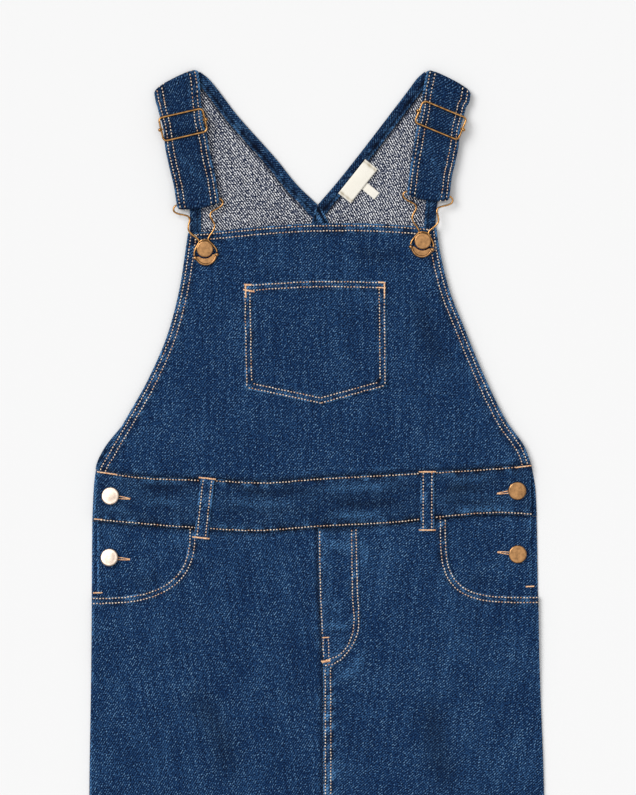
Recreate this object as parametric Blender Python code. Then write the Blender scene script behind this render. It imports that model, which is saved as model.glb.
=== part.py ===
"""Kids' denim dungarees laid flat on a surface, face up, each cut and sewn piece a closed solid.

+X is to the right as seen from the front, +Y runs from the hems to the shoulders and +Z is up from
the surface. Tables and functions work in millimetres from the middle of the seam under the
waistband; the parent empty moves the whole garment so that the origin is the middle of its base.
"""

import math
from typing import NamedTuple

import bmesh
import bpy
from mathutils import Matrix, Vector

# ---------------------------------------------------------------- driving dimensions (mm)
MM = 0.001
CLOTH = 1.2  # one layer of denim
BAND = 1.0  # turned edge, lying on the layer that it hems
WAISTBAND = 2.0  # two layers
STRAP = 1.5  # two layers, pressed
LABEL = 1.0
LOOP = 1.6  # belt loop, folded in three
SEAM = 0.3  # gap between neighbours
FRONT_REST = 3.0  # underside of the front where bands and facings lie beneath it
LEG_REST = CLOTH + SEAM  # underside of the front legs below the pockets
LOFT = 3.0  # how far the front rises above its rest, mid panel
SHOULDER_OF_LOFT = 70.0  # distance from an edge over which the front rises
CROTCH = -200.0
HEM = -640.0
BAND_WIDTH = 8.0  # turned neck and armhole edges
FELL_WIDTH = 9.0
BELT_LOOP_WIDTH = 10.0
FACING_UNDERLAP = 8.0  # how far a pocket facing runs on under the leg
SLIDER_WIRE = 0.75  # radius
SLIDER_BAR = 0.6
SLIDER_BALL = 1.35
SLIDER_HEIGHT = 16.5
SLIDER_CORNER = 2.6
SLIDER_Z = 7.6
HOOK_WIRE = 0.65
BAIL_Z = 5.4  # hook wire inside the strap's loop
BUTTON_RADIUS = 6.3
BIB_BUTTON_RADIUS = 5.8
BIB_BUTTON_HEAD = 7.35  # underside of the head, over the hook's ring
PLATE_BASE = 5.1
PLATE_THICKNESS = 1.9
PLATE_RADIUS = 7.6  # outer arc of the hook's crescent
PLATE_DROP = 4.0  # middle of that arc, below the button's middle
PLATE_MOUTH = 6.7  # inner arc, clear of the button's head
EAR_REACH = 8.9
EAR_LOW = 6.3
EAR_HIGH = 4.6


class Section(NamedTuple):
    """A level of an outline: its height and where its two edges are."""

    name: str
    y: float
    left: float
    right: float


class Station(NamedTuple):
    """A cross line of a strap: the line it is measured from, offset up from it, height, width."""

    name: str
    line: str
    offset: float
    z: float
    width: float


class Bend(NamedTuple):
    """A point of half a hook's wire: its place from the button's middle, its rise over the bail."""

    name: str
    x: float
    y: float
    rise: float


class CrossLine(NamedTuple):
    """A line across a strap in plan: middle, half width and turn in degrees."""

    x: float
    y: float
    half: float
    turn: float


class Scoop(NamedTuple):
    """A hip pocket's curved edge: part of a superellipse from the side seam to the waistband."""

    side_x: float
    top_y: float
    width: float
    depth: float
    power: float


# Outer edges of the front, from the bib's top to the hems.
FRONT = (
    Section("bib top", 212, -88.6, 84.0),
    Section("chest", 201, -90.3, 85.4),
    Section("upper armhole", 169, -95.2, 92.4),
    Section("mid armhole", 138, -102.9, 104.3),
    Section("lower armhole", 106, -116.2, 117.6),
    Section("armhole foot", 75, -133.4, 132.6),
    Section("bib foot", 54, -145.6, 146.4),
    Section("band top", 38, -153.4, 150.4),
    Section("band foot", 3, -155.8, 151.2),
    Section("pocket foot", -50, -156.8, 155.1),
    Section("hip", -100, -157.2, 156.3),
    Section("thigh", -187, -158.5, 159.3),
    Section("knee", -400, -159.5, 161.5),
    Section("hem", HEM, -158.0, 160.0),
)
# Outer edges of the back, which shows a little past the front beside the waistband.
BACK = (
    Section("strap root", 301, -112.2, 106.4),
    Section("shoulder", 275, -103.0, 97.5),
    Section("over hook", 245, -93.5, 89.5),
    Section("hook", 222, -88.4, 84.4),
    Section("bib corner", 203, -88.4, 83.4),
    Section("upper armhole", 169, -93.4, 90.6),
    Section("mid armhole", 138, -101.2, 102.5),
    Section("lower armhole", 106, -114.2, 115.6),
    Section("armhole foot", 75, -132.8, 131.4),
    Section("bib foot", 54, -149.0, 146.4),
    Section("band top", 42, -154.2, 150.9),
    Section("mid band", 24, -156.0, 154.0),
    Section("band foot", 3, -156.8, 154.7),
    Section("pocket foot", -50, -157.2, 155.6),
    Section("hip", -100, -157.6, 156.8),
    Section("thigh", -187, -158.9, 159.8),
    Section("knee", -400, -159.9, 162.0),
    Section("hem", HEM, -158.4, 160.5),
)
# Neck edges of the back, from the notch of the V to the shoulders.
NECK = (
    Section("shoulder", 316.6, -80.2, 74.2),
    Section("strap root", 307, -69.5, 65.8),
    Section("collar", 290, -56.5, 52.6),
    Section("upper back", 257, -27.3, 27.2),
    Section("low neck", 240, -13.6, 13.6),
    Section("notch", 226, 0.9, 1.5),
)
# Centre-front seam above the crotch and inside-leg edges below it.
INSIDE = (
    Section("waist", 2, 0.9, 1.3),
    Section("mid fly", -45, 1.8, 2.2),
    Section("fly foot", -98, 4.5, 4.9),
    Section("crotch", CROTCH, 4.8, 5.2),
    Section("below crotch", -236, -3.5, 13.5),
    Section("mid thigh", -330, -9.0, 19.0),
    Section("hem", HEM, -20.0, 30.0),
)
# Seams along the waistband and the bib's top edge: (x, y) where the line changes its run.
LOWER_SEAM = (
    (-158, 4.4), (-93, -1.0), (-42, -3.6), (0, -0.7), (56, 2.3), (84, 5.7), (128, 8.9), (156, 7.4),
)
UPPER_SEAM = (
    (-158, 40.4), (-115, 35.2), (-69, 33.6), (-37, 32.1), (0, 34.7), (72, 38.6), (123, 41.7), (156, 44.6),
)
BIB_TOP = ((-92, 205.6), (-71, 207.0), (-40, 210.0), (1, 212.4), (24, 212.6), (55, 211.6), (88, 209.0))

SCOOPS = {"left": Scoop(-156.6, -1.5, 67.4, 47.4, 2.8), "right": Scoop(155.6, 3.2, 64.0, 51.4, 4.0)}
SIDE_OPENING = {"left": -153.3, "right": 151.0}  # outer edge of the pocket facing

# Patch pocket: (x, y) corners, with the point of its foot.
POCKET = {"top_left": (-51.1, 170.1), "top": (0, 172.9), "top_right": (49.0, 172.2)}
POCKET_FOOT = {"left": (-49.7, 96.6), "point": (3.5, 85.4), "right": (49.7, 98.0)}

# Belt loops: top and bottom ends of each middle line.
BELT_LOOPS = {"left": ((-75.6, 35.0), (-80.4, -8.6)), "right": ((77.9, 39.6), (77.9, -3.2))}

# Mock fly: (x, y) up the outer edge of its J, and along its foot from the centre seam.
FLY_SIDE = ((22.8, -89.0), (29.8, -76.0), (31.2, -62.0), (30.6, -44.0), (29.6, 0.2))
FLY_FOOT = ((5.3, -99.0), (14.0, -96.6), (22.8, -89.0))

HOOK_MIDDLE = {"left": (-77.7, 194.6), "right": (74.6, 200.2)}
HOOK_TURN = {"left": 9.0, "right": -7.0}
# Half of the hook's wire, from the plate's ear up to the middle of the bail.
HOOK_HALF = (
    Bend("ear", 7.9, -3.4, 1.0),
    Bend("ring side", 8.0, -1.2, 1.0),
    Bend("ring shoulder", 7.0, 2.0, 1.0),
    Bend("ring top", 4.6, 4.4, 1.0),
    Bend("neck", 3.2, 6.0, 1.0),
    Bend("over the bib", 4.2, 8.0, 1.1),
    Bend("lower bulge", 7.4, 11.4, 1.2),
    Bend("bulge", 9.2, 14.6, 1.2),
    Bend("upper bulge", 8.6, 18.4, 1.0),
    Bend("waist", 7.3, 21.8, 0.7),
    Bend("out of the waist", 8.0, 24.2, 0.5),
    Bend("arm", 11.0, 25.8, 0.3),
    Bend("outer arm", 14.6, 27.2, 0.1),
    Bend("corner", 17.2, 29.2, 0.0),
    Bend("upper corner", 17.3, 31.4, 0.0),
    Bend("bail end", 15.4, 33.1, 0.0),
    Bend("bail", 12.6, 33.25, 0.0),
    Bend("mid bail", 6.0, 33.25, 0.0),
)
STRAP_LINES = {
    "left": {
        "hook": CrossLine(-82.2, 224.7, 14.9, 9.0),
        "slider": CrossLine(-93.0, 281.4, 16.0, 12.9),
        "fold": CrossLine(-99.2, 312.4, 16.8, 26.0),
    },
    "right": {
        "hook": CrossLine(78.3, 230.4, 14.9, -7.0),
        "slider": CrossLine(87.2, 284.5, 15.8, -22.5),
        "fold": CrossLine(93.3, 312.0, 17.0, -26.4),
    },
}
SLIDER_WIDTH = {"left": 31.3, "right": 32.7}
STRAP_LOOP = HOOK_WIRE + SEAM + STRAP / 2  # radius of the strap's middle round the bail
STRAP_FOLD = 1.9  # radius of its middle over the shoulder
CLEAR_OF_SLIDER = 9.0  # farther off than this, cross lines follow the strap's own slant
STRAP_RETURN = (
    Station("end under the bar", "slider", -1.5, 4.6, 0.84),
    Station("under the slider", "slider", -9.0, 3.6, 0.90),
    Station("mid return", "hook", 28.0, 3.6, 0.97),
    Station("below the loop", "hook", 8.0, 3.6, 1.0),
)
STRAP_FRONT = (
    Station("above the loop", "hook", 9.0, 6.5, 1.0),
    Station("low strap", "hook", 16.0, 5.6, 1.0),
    Station("mid strap", "hook", 34.0, 5.55, 1.0),
    Station("toward the slider", "slider", -14.0, 5.4, 1.0),
    Station("under the lower wire", "slider", -8.6, 5.4, 0.91),
    Station("climbing the bar", "slider", -3.0, 8.7, 0.87),
    Station("over the bar", "slider", 0.0, 9.45, 0.86),
    Station("off the bar", "slider", 3.0, 8.7, 0.87),
    Station("under the upper wire", "slider", 8.6, 5.3, 0.91),
    Station("above the slider", "slider", 15.0, 4.9, 1.0),
    Station("toward the fold", "fold", -8.0, 4.6, 1.0),
)

SIDE_BUTTONS = {
    "side_button_upper_left": (-143.6, 21.6),
    "side_button_lower_left": (-144.4, -21.5),
    "side_button_upper_right": (140.7, 25.4),
    "side_button_lower_right": (141.1, -19.0),
}
LABEL_PLACE = {"middle": (29.4, 242.1), "length": 30.4, "width": 11.2, "turn": 51.5, "z": 2.8}
TAG_PLACE = {"middle": (38.0, 235.5), "length": 12.2, "width": 6.0, "turn": -39.5, "z": 1.5}

# colour (linear), roughness, metallic
FINISHES = {
    "denim": ((0.014, 0.038, 0.105, 1.0), 0.9, 0.0),
    "denim_inside": ((0.22, 0.24, 0.28, 1.0), 0.95, 0.0),
    "brass": ((0.48, 0.27, 0.10, 1.0), 0.35, 1.0),
    "woven_label": ((0.82, 0.80, 0.74, 1.0), 0.9, 0.0),
}


# ---------------------------------------------------------------- lines and surfaces
def smooth_at(keys, values, at, bulging=False):
    """Value at a place on a smooth line through keyed values; the keys rise.

    The line stays between neighbouring values unless it may bulge past them, as a bent wire does.
    """
    last = len(keys) - 1
    i = max(0, min(last - 1, sum(key <= at for key in keys) - 1))
    slopes = [(values[j + 1] - values[j]) / (keys[j + 1] - keys[j]) for j in range(last)]

    def tangent(j):
        if j in (0, last):
            return slopes[min(j, last - 1)]
        before, after = slopes[j - 1], slopes[j]
        if bulging:
            return (before + after) / 2
        return 2 * before * after / (before + after) if before * after > 0 else 0.0

    span = keys[i + 1] - keys[i]
    t = max(0.0, min(1.0, (at - keys[i]) / span))
    rise = values[i + 1] - values[i]
    blend = t * t * (3 - 2 * t)
    swing = t * (1 - t) * ((1 - t) * (tangent(i) * span) - t * (tangent(i + 1) * span))
    return values[i] + rise * blend + swing


def edge_x(table, side, y):
    """X of an outline's left or right edge at a height."""
    rows = sorted(table, key=lambda row: row.y)
    return smooth_at([row.y for row in rows], [getattr(row, side) for row in rows], y)


def line_y(line, x):
    """Y of a seam line at an x."""
    return smooth_at([point[0] for point in line], [point[1] for point in line], x)


def through(points):
    """A smooth path through a few points, as a function of 0 to 1 along its length."""
    keys = [0.0]
    for a, b in zip(points, points[1:]):
        keys.append(keys[-1] + math.dist(a, b))
    axes = list(zip(*points))

    def path(u):
        return Vector([smooth_at(keys, axis, u * keys[-1], bulging=True) for axis in axes])

    return path


def edge_path(table, side, low, high, inset=0.0):
    """Path up one edge of an outline between two heights, moved in from it."""

    def path(u):
        y = low + (high - low) * u
        return Vector((edge_x(table, side, y) + inset, y))

    return path


def seam_path(line, start, end, lift=0.0):
    """Path along a seam line between two x, moved up from it."""

    def path(u):
        x = start + (end - start) * u
        return Vector((x, line_y(line, x) + lift))

    return path


def joined(first, second, share):
    """Two paths end to end: the first takes up to share of the run, the second the rest."""

    def path(u):
        return first(u / share) if u <= share else second((u - share) / (1 - share))

    return path


def fitted(path, start, end):
    """The path with its ends drawn to two corners, the rest left as it is."""

    def drawn(u):
        return path(u) + (start - path(0)) * (1 - u) ** 8 + (end - path(1)) * u ** 8

    return drawn


def straight(start, end):
    """Straight path between two points."""
    return lambda u: Vector(start).lerp(Vector(end), u)


def scoop_point(scoop, sign, angle, grow=0.0):
    """Point of a hip pocket's edge; angle 0 is at the waistband and 90 degrees at the side."""
    across = (scoop.width + grow) * max(0.0, math.cos(angle)) ** (2 / scoop.power)
    down = (scoop.depth + grow) * max(0.0, math.sin(angle)) ** (2 / scoop.power)
    return Vector((scoop.side_x + sign * across, scoop.top_y - down))


def rise(distance):
    """0 at an edge, smoothly up to 1 at the shoulder of the loft."""
    t = max(0.0, min(1.0, distance / SHOULDER_OF_LOFT))
    return t * t * (3 - 2 * t)


def front_z(x, y):
    """Underside of the front layer over a place."""
    inside = min(x - edge_x(FRONT, "left", y), edge_x(FRONT, "right", y) - x)
    lift = rise(inside)
    below = max(0.0, min(1.0, (-110 - y) / 90))
    near_leg_edge = abs(x - edge_x(INSIDE, "left" if x < 5 else "right", y))
    lift *= 1 - below * (1 - rise(near_leg_edge))
    lift *= 0.35 + 0.65 * max(0.0, min(1.0, (212 - y) / 60))
    to_legs = max(0.0, min(1.0, (-70 - y) / 60))
    rest = FRONT_REST + (LEG_REST - FRONT_REST) * to_legs * to_legs * (3 - 2 * to_legs)
    return rest + LOFT * lift


def patch(bottom, top, left, right, columns, rows):
    """Grid of plan points that fills the space between four paths that share their corners."""
    grid = []
    for j in range(rows + 1):
        v = j / rows
        row = []
        for i in range(columns + 1):
            u = i / columns
            ruled = bottom(u).lerp(top(u), v) + left(v).lerp(right(v), u)
            corners = bottom(0).lerp(bottom(1), u).lerp(top(0).lerp(top(1), u), v)
            row.append(ruled - corners)
        grid.append(row)
    return grid


# ---------------------------------------------------------------- solids
def material(name):
    """The named finish, made once."""
    if name in bpy.data.materials:
        return bpy.data.materials[name]
    made = bpy.data.materials.new(name)
    made.use_nodes = True
    colour, roughness, metallic = FINISHES[name]
    shader = made.node_tree.nodes["Principled BSDF"]
    shader.inputs["Base Color"].default_value = colour
    shader.inputs["Roughness"].default_value = roughness
    shader.inputs["Metallic"].default_value = metallic
    made.diffuse_color = colour
    return made


def place(name, shape, finish, smooth=False):
    """Turns a bmesh in millimetres into the named object under the garment's parent."""
    bmesh.ops.scale(shape, vec=(MM, MM, MM), verts=shape.verts)
    mesh = bpy.data.meshes.new(name)
    shape.to_mesh(mesh)
    shape.free()
    mesh.materials.append(material(finish))
    if smooth:
        mesh.shade_smooth()
        mesh.set_sharp_from_angle(angle=math.radians(40))
    made = bpy.data.objects.new(name, mesh)
    bpy.context.scene.collection.objects.link(made)
    made.parent = bpy.data.objects["dungarees"]
    return made


def grid_faces(shape, grid):
    """Adds a grid of points and its faces to a bmesh, and returns the faces."""
    points = [[shape.verts.new(point) for point in row] for row in grid]
    faces = []
    for lower, upper in zip(points, points[1:]):
        for i in range(len(lower) - 1):
            faces.append(shape.faces.new((lower[i], lower[i + 1], upper[i + 1], upper[i])))
    return faces


def panel(name, grid, height, thickness, finish):
    """A cloth panel: plan points at their heights, thickened straight up."""
    shape = bmesh.new()
    faces = grid_faces(shape, [[(p.x, p.y, height(p.x, p.y)) for p in row] for row in grid])
    lifted = bmesh.ops.extrude_face_region(shape, geom=faces)["geom"]
    corners = [part for part in lifted if isinstance(part, bmesh.types.BMVert)]
    bmesh.ops.translate(shape, vec=(0, 0, thickness), verts=corners)
    bmesh.ops.recalc_face_normals(shape, faces=shape.faces)
    return place(name, shape, finish)


def at_height(z):
    """Height function of a layer that lies level."""
    return lambda x, y: z


def over_front(lift):
    """Height function of what lies a little over the front layer's underside."""
    return lambda x, y: front_z(x, y) + lift


def lathe(name, x, y, profile, finish):
    """A turned piece: (radius, height) rows from the middle of its base to the middle of its top."""
    shape = bmesh.new()
    points = [shape.verts.new((x + radius, y, z)) for radius, z in profile]
    edges = [shape.edges.new(pair) for pair in zip(points, points[1:])]
    bmesh.ops.spin(shape, geom=points + edges, cent=(x, y, 0), axis=(0, 0, 1), angle=math.tau, steps=24)
    bmesh.ops.remove_doubles(shape, verts=shape.verts, dist=0.001)
    bmesh.ops.recalc_face_normals(shape, faces=shape.faces)
    return place(name, shape, finish, smooth=True)


def wire_mesh(points, radius, closed):
    """Mesh of a round wire along a path, made by a bevelled curve."""
    curve = bpy.data.curves.new("wire", "CURVE")
    curve.dimensions = "3D"
    curve.bevel_depth = radius
    curve.bevel_resolution = 2
    curve.use_fill_caps = not closed
    spline = curve.splines.new("POLY")
    spline.points.add(len(points) - 1)
    for point, at in zip(spline.points, points):
        point.co = (*at, 1)
    spline.use_cyclic_u = closed
    guide = bpy.data.objects.new("wire", curve)
    mesh = bpy.data.meshes.new_from_object(guide)
    bpy.data.objects.remove(guide)
    bpy.data.curves.remove(curve)
    shape = bmesh.new()
    shape.from_mesh(mesh)
    bpy.data.meshes.remove(mesh)
    bmesh.ops.remove_doubles(shape, verts=shape.verts, dist=0.001)
    bmesh.ops.recalc_face_normals(shape, faces=shape.faces)
    return shape


# ---------------------------------------------------------------- the pieces
def side_sign(side):
    """-1 on the left, 1 on the right."""
    return -1 if side == "left" else 1


def make_back_bib(side):
    """Half of the back bib, from the waistband to the strap's seam, with the V of the neck."""
    centre_x = getattr(NECK[-1], side)
    corner_x = edge_x(BACK, side, line_y(UPPER_SEAM, getattr(table_row(BACK, "band top"), side)))
    bottom = seam_path(UPPER_SEAM, corner_x, centre_x, SEAM)
    outside = edge_path(BACK, side, bottom(0).y, BACK[0].y)
    seam = straight(bottom(1), (centre_x, NECK[-1].y))
    inside = joined(seam, edge_path(NECK, side, NECK[-1].y, NECK[0].y), 0.6)
    top = straight(outside(1), inside(1))
    grid = patch(bottom, top, outside, inside, 13, 18)
    panel(f"back_bib_{side}", grid, at_height(0), CLOTH, "denim_inside")


def make_neck_band(side):
    """Turned neck edge, its ends mitred at the centre-back seam."""
    outer = edge_path(NECK, side, NECK[-1].y, NECK[0].y)
    rows = 14
    grid = []
    for j in range(rows + 1):
        point = outer(j / rows)
        run = outer(min(1, j / rows + 0.02)) - outer(max(0, j / rows - 0.02))
        drop = BAND_WIDTH * run.length / abs(run.x)
        grid.append([point - Vector((0, drop * k / 2)) for k in range(3)])
    panel(f"neck_band_{side}", grid, at_height(CLOTH + SEAM), BAND, "denim")


def make_armhole_band(side):
    """Turned armhole edge of the back, from the strap's seam to the waistband."""
    outer = edge_path(BACK, side, line_y(UPPER_SEAM, side_sign(side) * 154) + 2 * SEAM, BACK[0].y)
    rows = 18
    grid = []
    for j in range(rows + 1):
        point = outer(j / rows)
        run = outer(min(1, j / rows + 0.02)) - outer(max(0, j / rows - 0.02))
        inward = -side_sign(side) * BAND_WIDTH * run.length / abs(run.y)
        grid.append([point + Vector((inward * k / 2, 0)) for k in range(3)])
    panel(f"armhole_band_{side}", grid, at_height(CLOTH + SEAM), BAND, "denim")


def make_centre_back_fell():
    """Fell of the centre-back seam, from under the neck's mitre to the waistband."""
    middle = (NECK[-1].left + NECK[-1].right) / 2
    low = line_y(UPPER_SEAM, 0) + SEAM
    high = NECK[-1].y - BAND_WIDTH * 1.55
    corners = [(middle - FELL_WIDTH / 2, low), (middle + FELL_WIDTH / 2, low)]
    tops = [(x, high) for x, _ in corners]
    grid = patch(straight(*corners), straight(*tops), straight(corners[0], tops[0]),
                 straight(corners[1], tops[1]), 2, 8)
    panel("centre_back_fell", grid, at_height(CLOTH + SEAM), BAND, "denim")


def make_waistband(name, table, height, thickness, columns):
    """A waistband from side to side between its two seams."""
    left = table_row(table, "band foot").left
    right = table_row(table, "band foot").right
    top_left = table_row(table, "band top").left
    top_right = table_row(table, "band top").right
    bottom = seam_path(LOWER_SEAM, left, right)
    top = seam_path(UPPER_SEAM, top_left, top_right)
    ends = [fitted(edge_path(table, side, bottom(u).y, top(u).y), bottom(u), top(u))
            for side, u in (("left", 0), ("right", 1))]
    grid = patch(bottom, top, *ends, columns, 4)
    panel(name, grid, height, thickness, "denim")


def table_row(table, name):
    """The named level of an outline."""
    return next(row for row in table if row.name == name)


def make_back_leg(side):
    """Back leg from under the waistband to the hem."""
    centre = edge_path(INSIDE, side, HEM, line_y(LOWER_SEAM, 0) - SEAM)
    top = seam_path(LOWER_SEAM, getattr(table_row(BACK, "band foot"), side), centre(1).x, -SEAM)
    outer = edge_path(BACK, side, HEM, top(0).y)
    bottom = straight(outer(0), centre(0))
    grid = patch(bottom, top, outer, centre, 13, 20)
    panel(f"back_leg_{side}", grid, at_height(0), CLOTH, "denim")


def make_front_leg(side):
    """Front leg, with the pocket's scoop cut from its corner, from the waistband to the hem."""
    sign = side_sign(side)
    scoop = SCOOPS[side]
    centre = edge_path(INSIDE, side, HEM, line_y(LOWER_SEAM, 0) - SEAM)

    def scoop_edge(u):
        return scoop_point(scoop, -sign, (1 - u) * math.pi / 2)

    waist = seam_path(LOWER_SEAM, scoop_edge(1).x, centre(1).x, -SEAM)
    top = joined(fitted(scoop_edge, scoop_edge(0), waist(0)), waist, 0.55)
    outer = fitted(edge_path(FRONT, side, HEM, top(0).y), Vector((edge_x(FRONT, side, HEM), HEM)), top(0))
    grid = patch(straight(outer(0), centre(0)), top, outer, centre, 20, 20)
    panel(f"front_leg_{side}", grid, front_z, CLOTH, "denim")


def make_pocket_facing(side):
    """Facing seen inside the scoop of a hip pocket, its foot and inner edge under the leg."""
    sign = side_sign(side)
    scoop = SCOOPS[side]._replace(side_x=SIDE_OPENING[side])
    grow = FACING_UNDERLAP

    def rim(start, end):
        return lambda u: scoop_point(scoop, -sign, math.radians(start + (end - start) * u), grow)

    inner = rim(45, 2)
    foot = rim(90, 45)
    top = seam_path(LOWER_SEAM, SIDE_OPENING[side], inner(1).x, -SEAM)
    grid = patch(foot, top, straight(foot(0), top(0)), fitted(inner, inner(0), top(1)), 8, 8)
    panel(f"pocket_facing_{side}", grid, over_front(-CLOTH - SEAM), CLOTH, "denim")


def make_fly():
    """Mock fly lying on the right front along the centre seam, its outer edge a J."""
    top_y = line_y(LOWER_SEAM, 0) - 2 * SEAM
    foot = through(FLY_FOOT)
    start = Vector((edge_x(INSIDE, "right", top_y) + SEAM, top_y))
    end = Vector((FLY_SIDE[-1][0], top_y))
    side = through(FLY_SIDE)
    grid = patch(foot, straight(start, end), straight(foot(0), start), fitted(side, side(0), end), 6, 14)
    panel("fly", grid, over_front(CLOTH + SEAM), BAND, "denim")


def make_belt_loop(side):
    """Belt loop standing over the waistband, sewn down above and below it."""
    top, bottom = (Vector(end) for end in BELT_LOOPS[side])
    across = (top - bottom).normalized().orthogonal() * BELT_LOOP_WIDTH / 2
    low = sorted((bottom - across, bottom + across), key=lambda p: p.x)
    high = sorted((top - across, top + across), key=lambda p: p.x)
    grid = patch(straight(*low), straight(*high), straight(low[0], high[0]), straight(low[1], high[1]), 3, 8)
    panel(f"belt_loop_{side}", grid, over_front(WAISTBAND + SEAM), LOOP, "denim")


def make_bib():
    """Front bib, from the waistband to its hemmed top, hollowed at the armholes."""
    foot = table_row(FRONT, "band top")
    bottom = seam_path(UPPER_SEAM, foot.left, foot.right, SEAM)
    top = seam_path(BIB_TOP, edge_x(FRONT, "left", BIB_TOP[0][1]), edge_x(FRONT, "right", BIB_TOP[-1][1]))

    def armhole(side, end):
        low, high = bottom(end), top(end)
        return fitted(edge_path(FRONT, side, low.y, high.y), low, high)

    grid = patch(bottom, top, armhole("left", 0), armhole("right", 1), 26, 14)
    panel("bib", grid, front_z, CLOTH, "denim")


def make_bib_pocket():
    """Patch pocket on the bib, with its pointed foot."""
    top = through((POCKET["top_left"], POCKET["top"], POCKET["top_right"]))
    point = POCKET_FOOT["point"]
    foot = joined(straight(POCKET_FOOT["left"], point), straight(point, POCKET_FOOT["right"]), 0.5)
    grid = patch(foot, top, straight(foot(0), top(0)), straight(foot(1), top(1)), 10, 8)
    panel("bib_pocket", grid, over_front(CLOTH + SEAM), CLOTH, "denim")


def strap_row(side, station):
    """The two ends of one cross line of a strap."""
    line = STRAP_LINES[side][station.line]
    turn = math.radians(line.turn)
    along = Vector((-math.sin(turn), math.cos(turn), 0))
    if station.line != "hook" and abs(station.offset) > CLEAR_OF_SLIDER:
        low, high = (STRAP_LINES[side][name] for name in ("hook", "fold"))
        along = Vector((high.x - low.x, high.y - low.y, 0)).normalized()
    across = Vector((math.cos(turn), math.sin(turn), 0)) * line.half * station.width
    middle = Vector((line.x, line.y, station.z)) + along * station.offset
    return [middle - across, middle, middle + across]


def arc_stations(name, line, offset, z, radius, start, end, steps):
    """Cross lines round a bend of a strap, between two angles above the horizontal."""
    made = []
    for k in range(steps + 1):
        angle = math.radians(start + (end - start) * k / steps)
        made.append(Station(name, line, offset + radius * math.cos(angle), z + radius * math.sin(angle), 1.0))
    return made


def make_strap(side):
    """Shoulder strap: from under the slider's bar down, round the hook, up and over the shoulder."""
    loop = arc_stations("loop", "hook", STRAP / 2 + STRAP_LOOP, BAIL_Z, STRAP_LOOP, 270, 90, 6)
    fold_z = STRAP / 2 + STRAP_FOLD
    fold = arc_stations("fold", "fold", -STRAP / 2 - STRAP_FOLD, fold_z, STRAP_FOLD, 90, -90, 6)
    stations = [*STRAP_RETURN, *loop, *STRAP_FRONT, *fold, Station("seam", "fold", -4.0, STRAP / 2, 1.0)]
    shape = bmesh.new()
    grid_faces(shape, [strap_row(side, station) for station in stations])
    bmesh.ops.recalc_face_normals(shape, faces=shape.faces)
    made = place(f"strap_{side}", shape, "denim")
    wall = made.modifiers.new("Solidify", "SOLIDIFY")
    wall.thickness = STRAP * MM
    wall.offset = 0
    wall.use_even_offset = True


def make_slider(side):
    """Wire slider: a rounded frame and a centre bar with ball ends, joined."""
    line = STRAP_LINES[side]["slider"]
    put = Matrix.Translation((line.x, line.y, SLIDER_Z)) @ Matrix.Rotation(math.radians(line.turn), 4, "Z")
    half_width = SLIDER_WIDTH[side] / 2
    frame = []
    for quarter in range(4):
        sx = 1 if quarter in (0, 3) else -1
        sy = 1 if quarter in (0, 1) else -1
        for k in range(5):
            angle = math.radians(90 * quarter + 22.5 * k)
            x = sx * (half_width - SLIDER_CORNER) + SLIDER_CORNER * math.cos(angle)
            y = sy * (SLIDER_HEIGHT / 2 - SLIDER_CORNER) + SLIDER_CORNER * math.sin(angle)
            frame.append(put @ Vector((x, y, 0)))
    made = place(f"slider_{side}", wire_mesh(frame, SLIDER_WIRE, True), "brass", smooth=True)
    reach = half_width + 0.9
    bar = [put @ Vector((x, 0, 0)) for x in (-reach, 0, reach)]
    helpers = [wire_mesh(bar, SLIDER_BAR, False)]
    for end in (-reach, reach):
        ball = bmesh.new()
        middle = put @ Matrix.Translation((end, 0, 0))
        bmesh.ops.create_uvsphere(ball, u_segments=10, v_segments=8, radius=SLIDER_BALL, matrix=middle)
        helpers.append(ball)
    for number, helper in enumerate(helpers):
        piece = place(f"slider_{side}_helper_{number}", helper, "brass")
        piece.hide_render = True
        piece.display_type = "WIRE"
        join = made.modifiers.new("Union", "BOOLEAN")
        join.operation = "UNION"
        join.solver = "EXACT"
        join.object = piece


def hook_frame(side):
    """Places hook coordinates, whose origin is the middle of the bib button, in the garment."""
    x, y = HOOK_MIDDLE[side]
    return Matrix.Translation((x, y, 0)) @ Matrix.Rotation(math.radians(HOOK_TURN[side]), 4, "Z")


def make_hook_wire(side):
    """Bent wire of a hook: ring round the button, neck, shoulders and the bail in the strap."""
    half = [Vector((bend.x, bend.y, BAIL_Z + bend.rise)) for bend in HOOK_HALF]
    other = [Vector((-point.x, point.y, point.z)) for point in reversed(half)]
    route = through([tuple(point) for point in half + other])
    steps = 56
    points = [hook_frame(side) @ route(k / steps) for k in range(steps + 1)]
    place(f"hook_wire_{side}", wire_mesh(points, HOOK_WIRE, False), "brass", smooth=True)


def arc_points(middle_y, radius, start, end, steps):
    """Points of an arc about a middle on the Y axis, between two angles in degrees."""
    made = []
    for k in range(steps + 1):
        angle = math.radians(start + (end - start) * k / steps)
        made.append((radius * math.cos(angle), middle_y + radius * math.sin(angle)))
    return made


def make_hook_plate(side):
    """Lower crescent of a hook, with an ear at each end that takes the wire."""
    put = hook_frame(side)
    outline = arc_points(-PLATE_DROP, PLATE_RADIUS, 200, 340, 12)
    outline += [(EAR_REACH, -EAR_LOW), (EAR_REACH, -EAR_HIGH)]
    outline += arc_points(0, PLATE_MOUTH, -38, -142, 8)
    outline += [(-EAR_REACH, -EAR_HIGH), (-EAR_REACH, -EAR_LOW)]
    shape = bmesh.new()
    corners = [shape.verts.new(put @ Vector((x, y, PLATE_BASE))) for x, y in outline]
    face = shape.faces.new(corners)
    lifted = bmesh.ops.extrude_face_region(shape, geom=[face])["geom"]
    top = [part for part in lifted if isinstance(part, bmesh.types.BMVert)]
    bmesh.ops.translate(shape, vec=(0, 0, PLATE_THICKNESS), verts=top)
    bmesh.ops.recalc_face_normals(shape, faces=shape.faces)
    place(f"hook_plate_{side}", shape, "brass")


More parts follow.
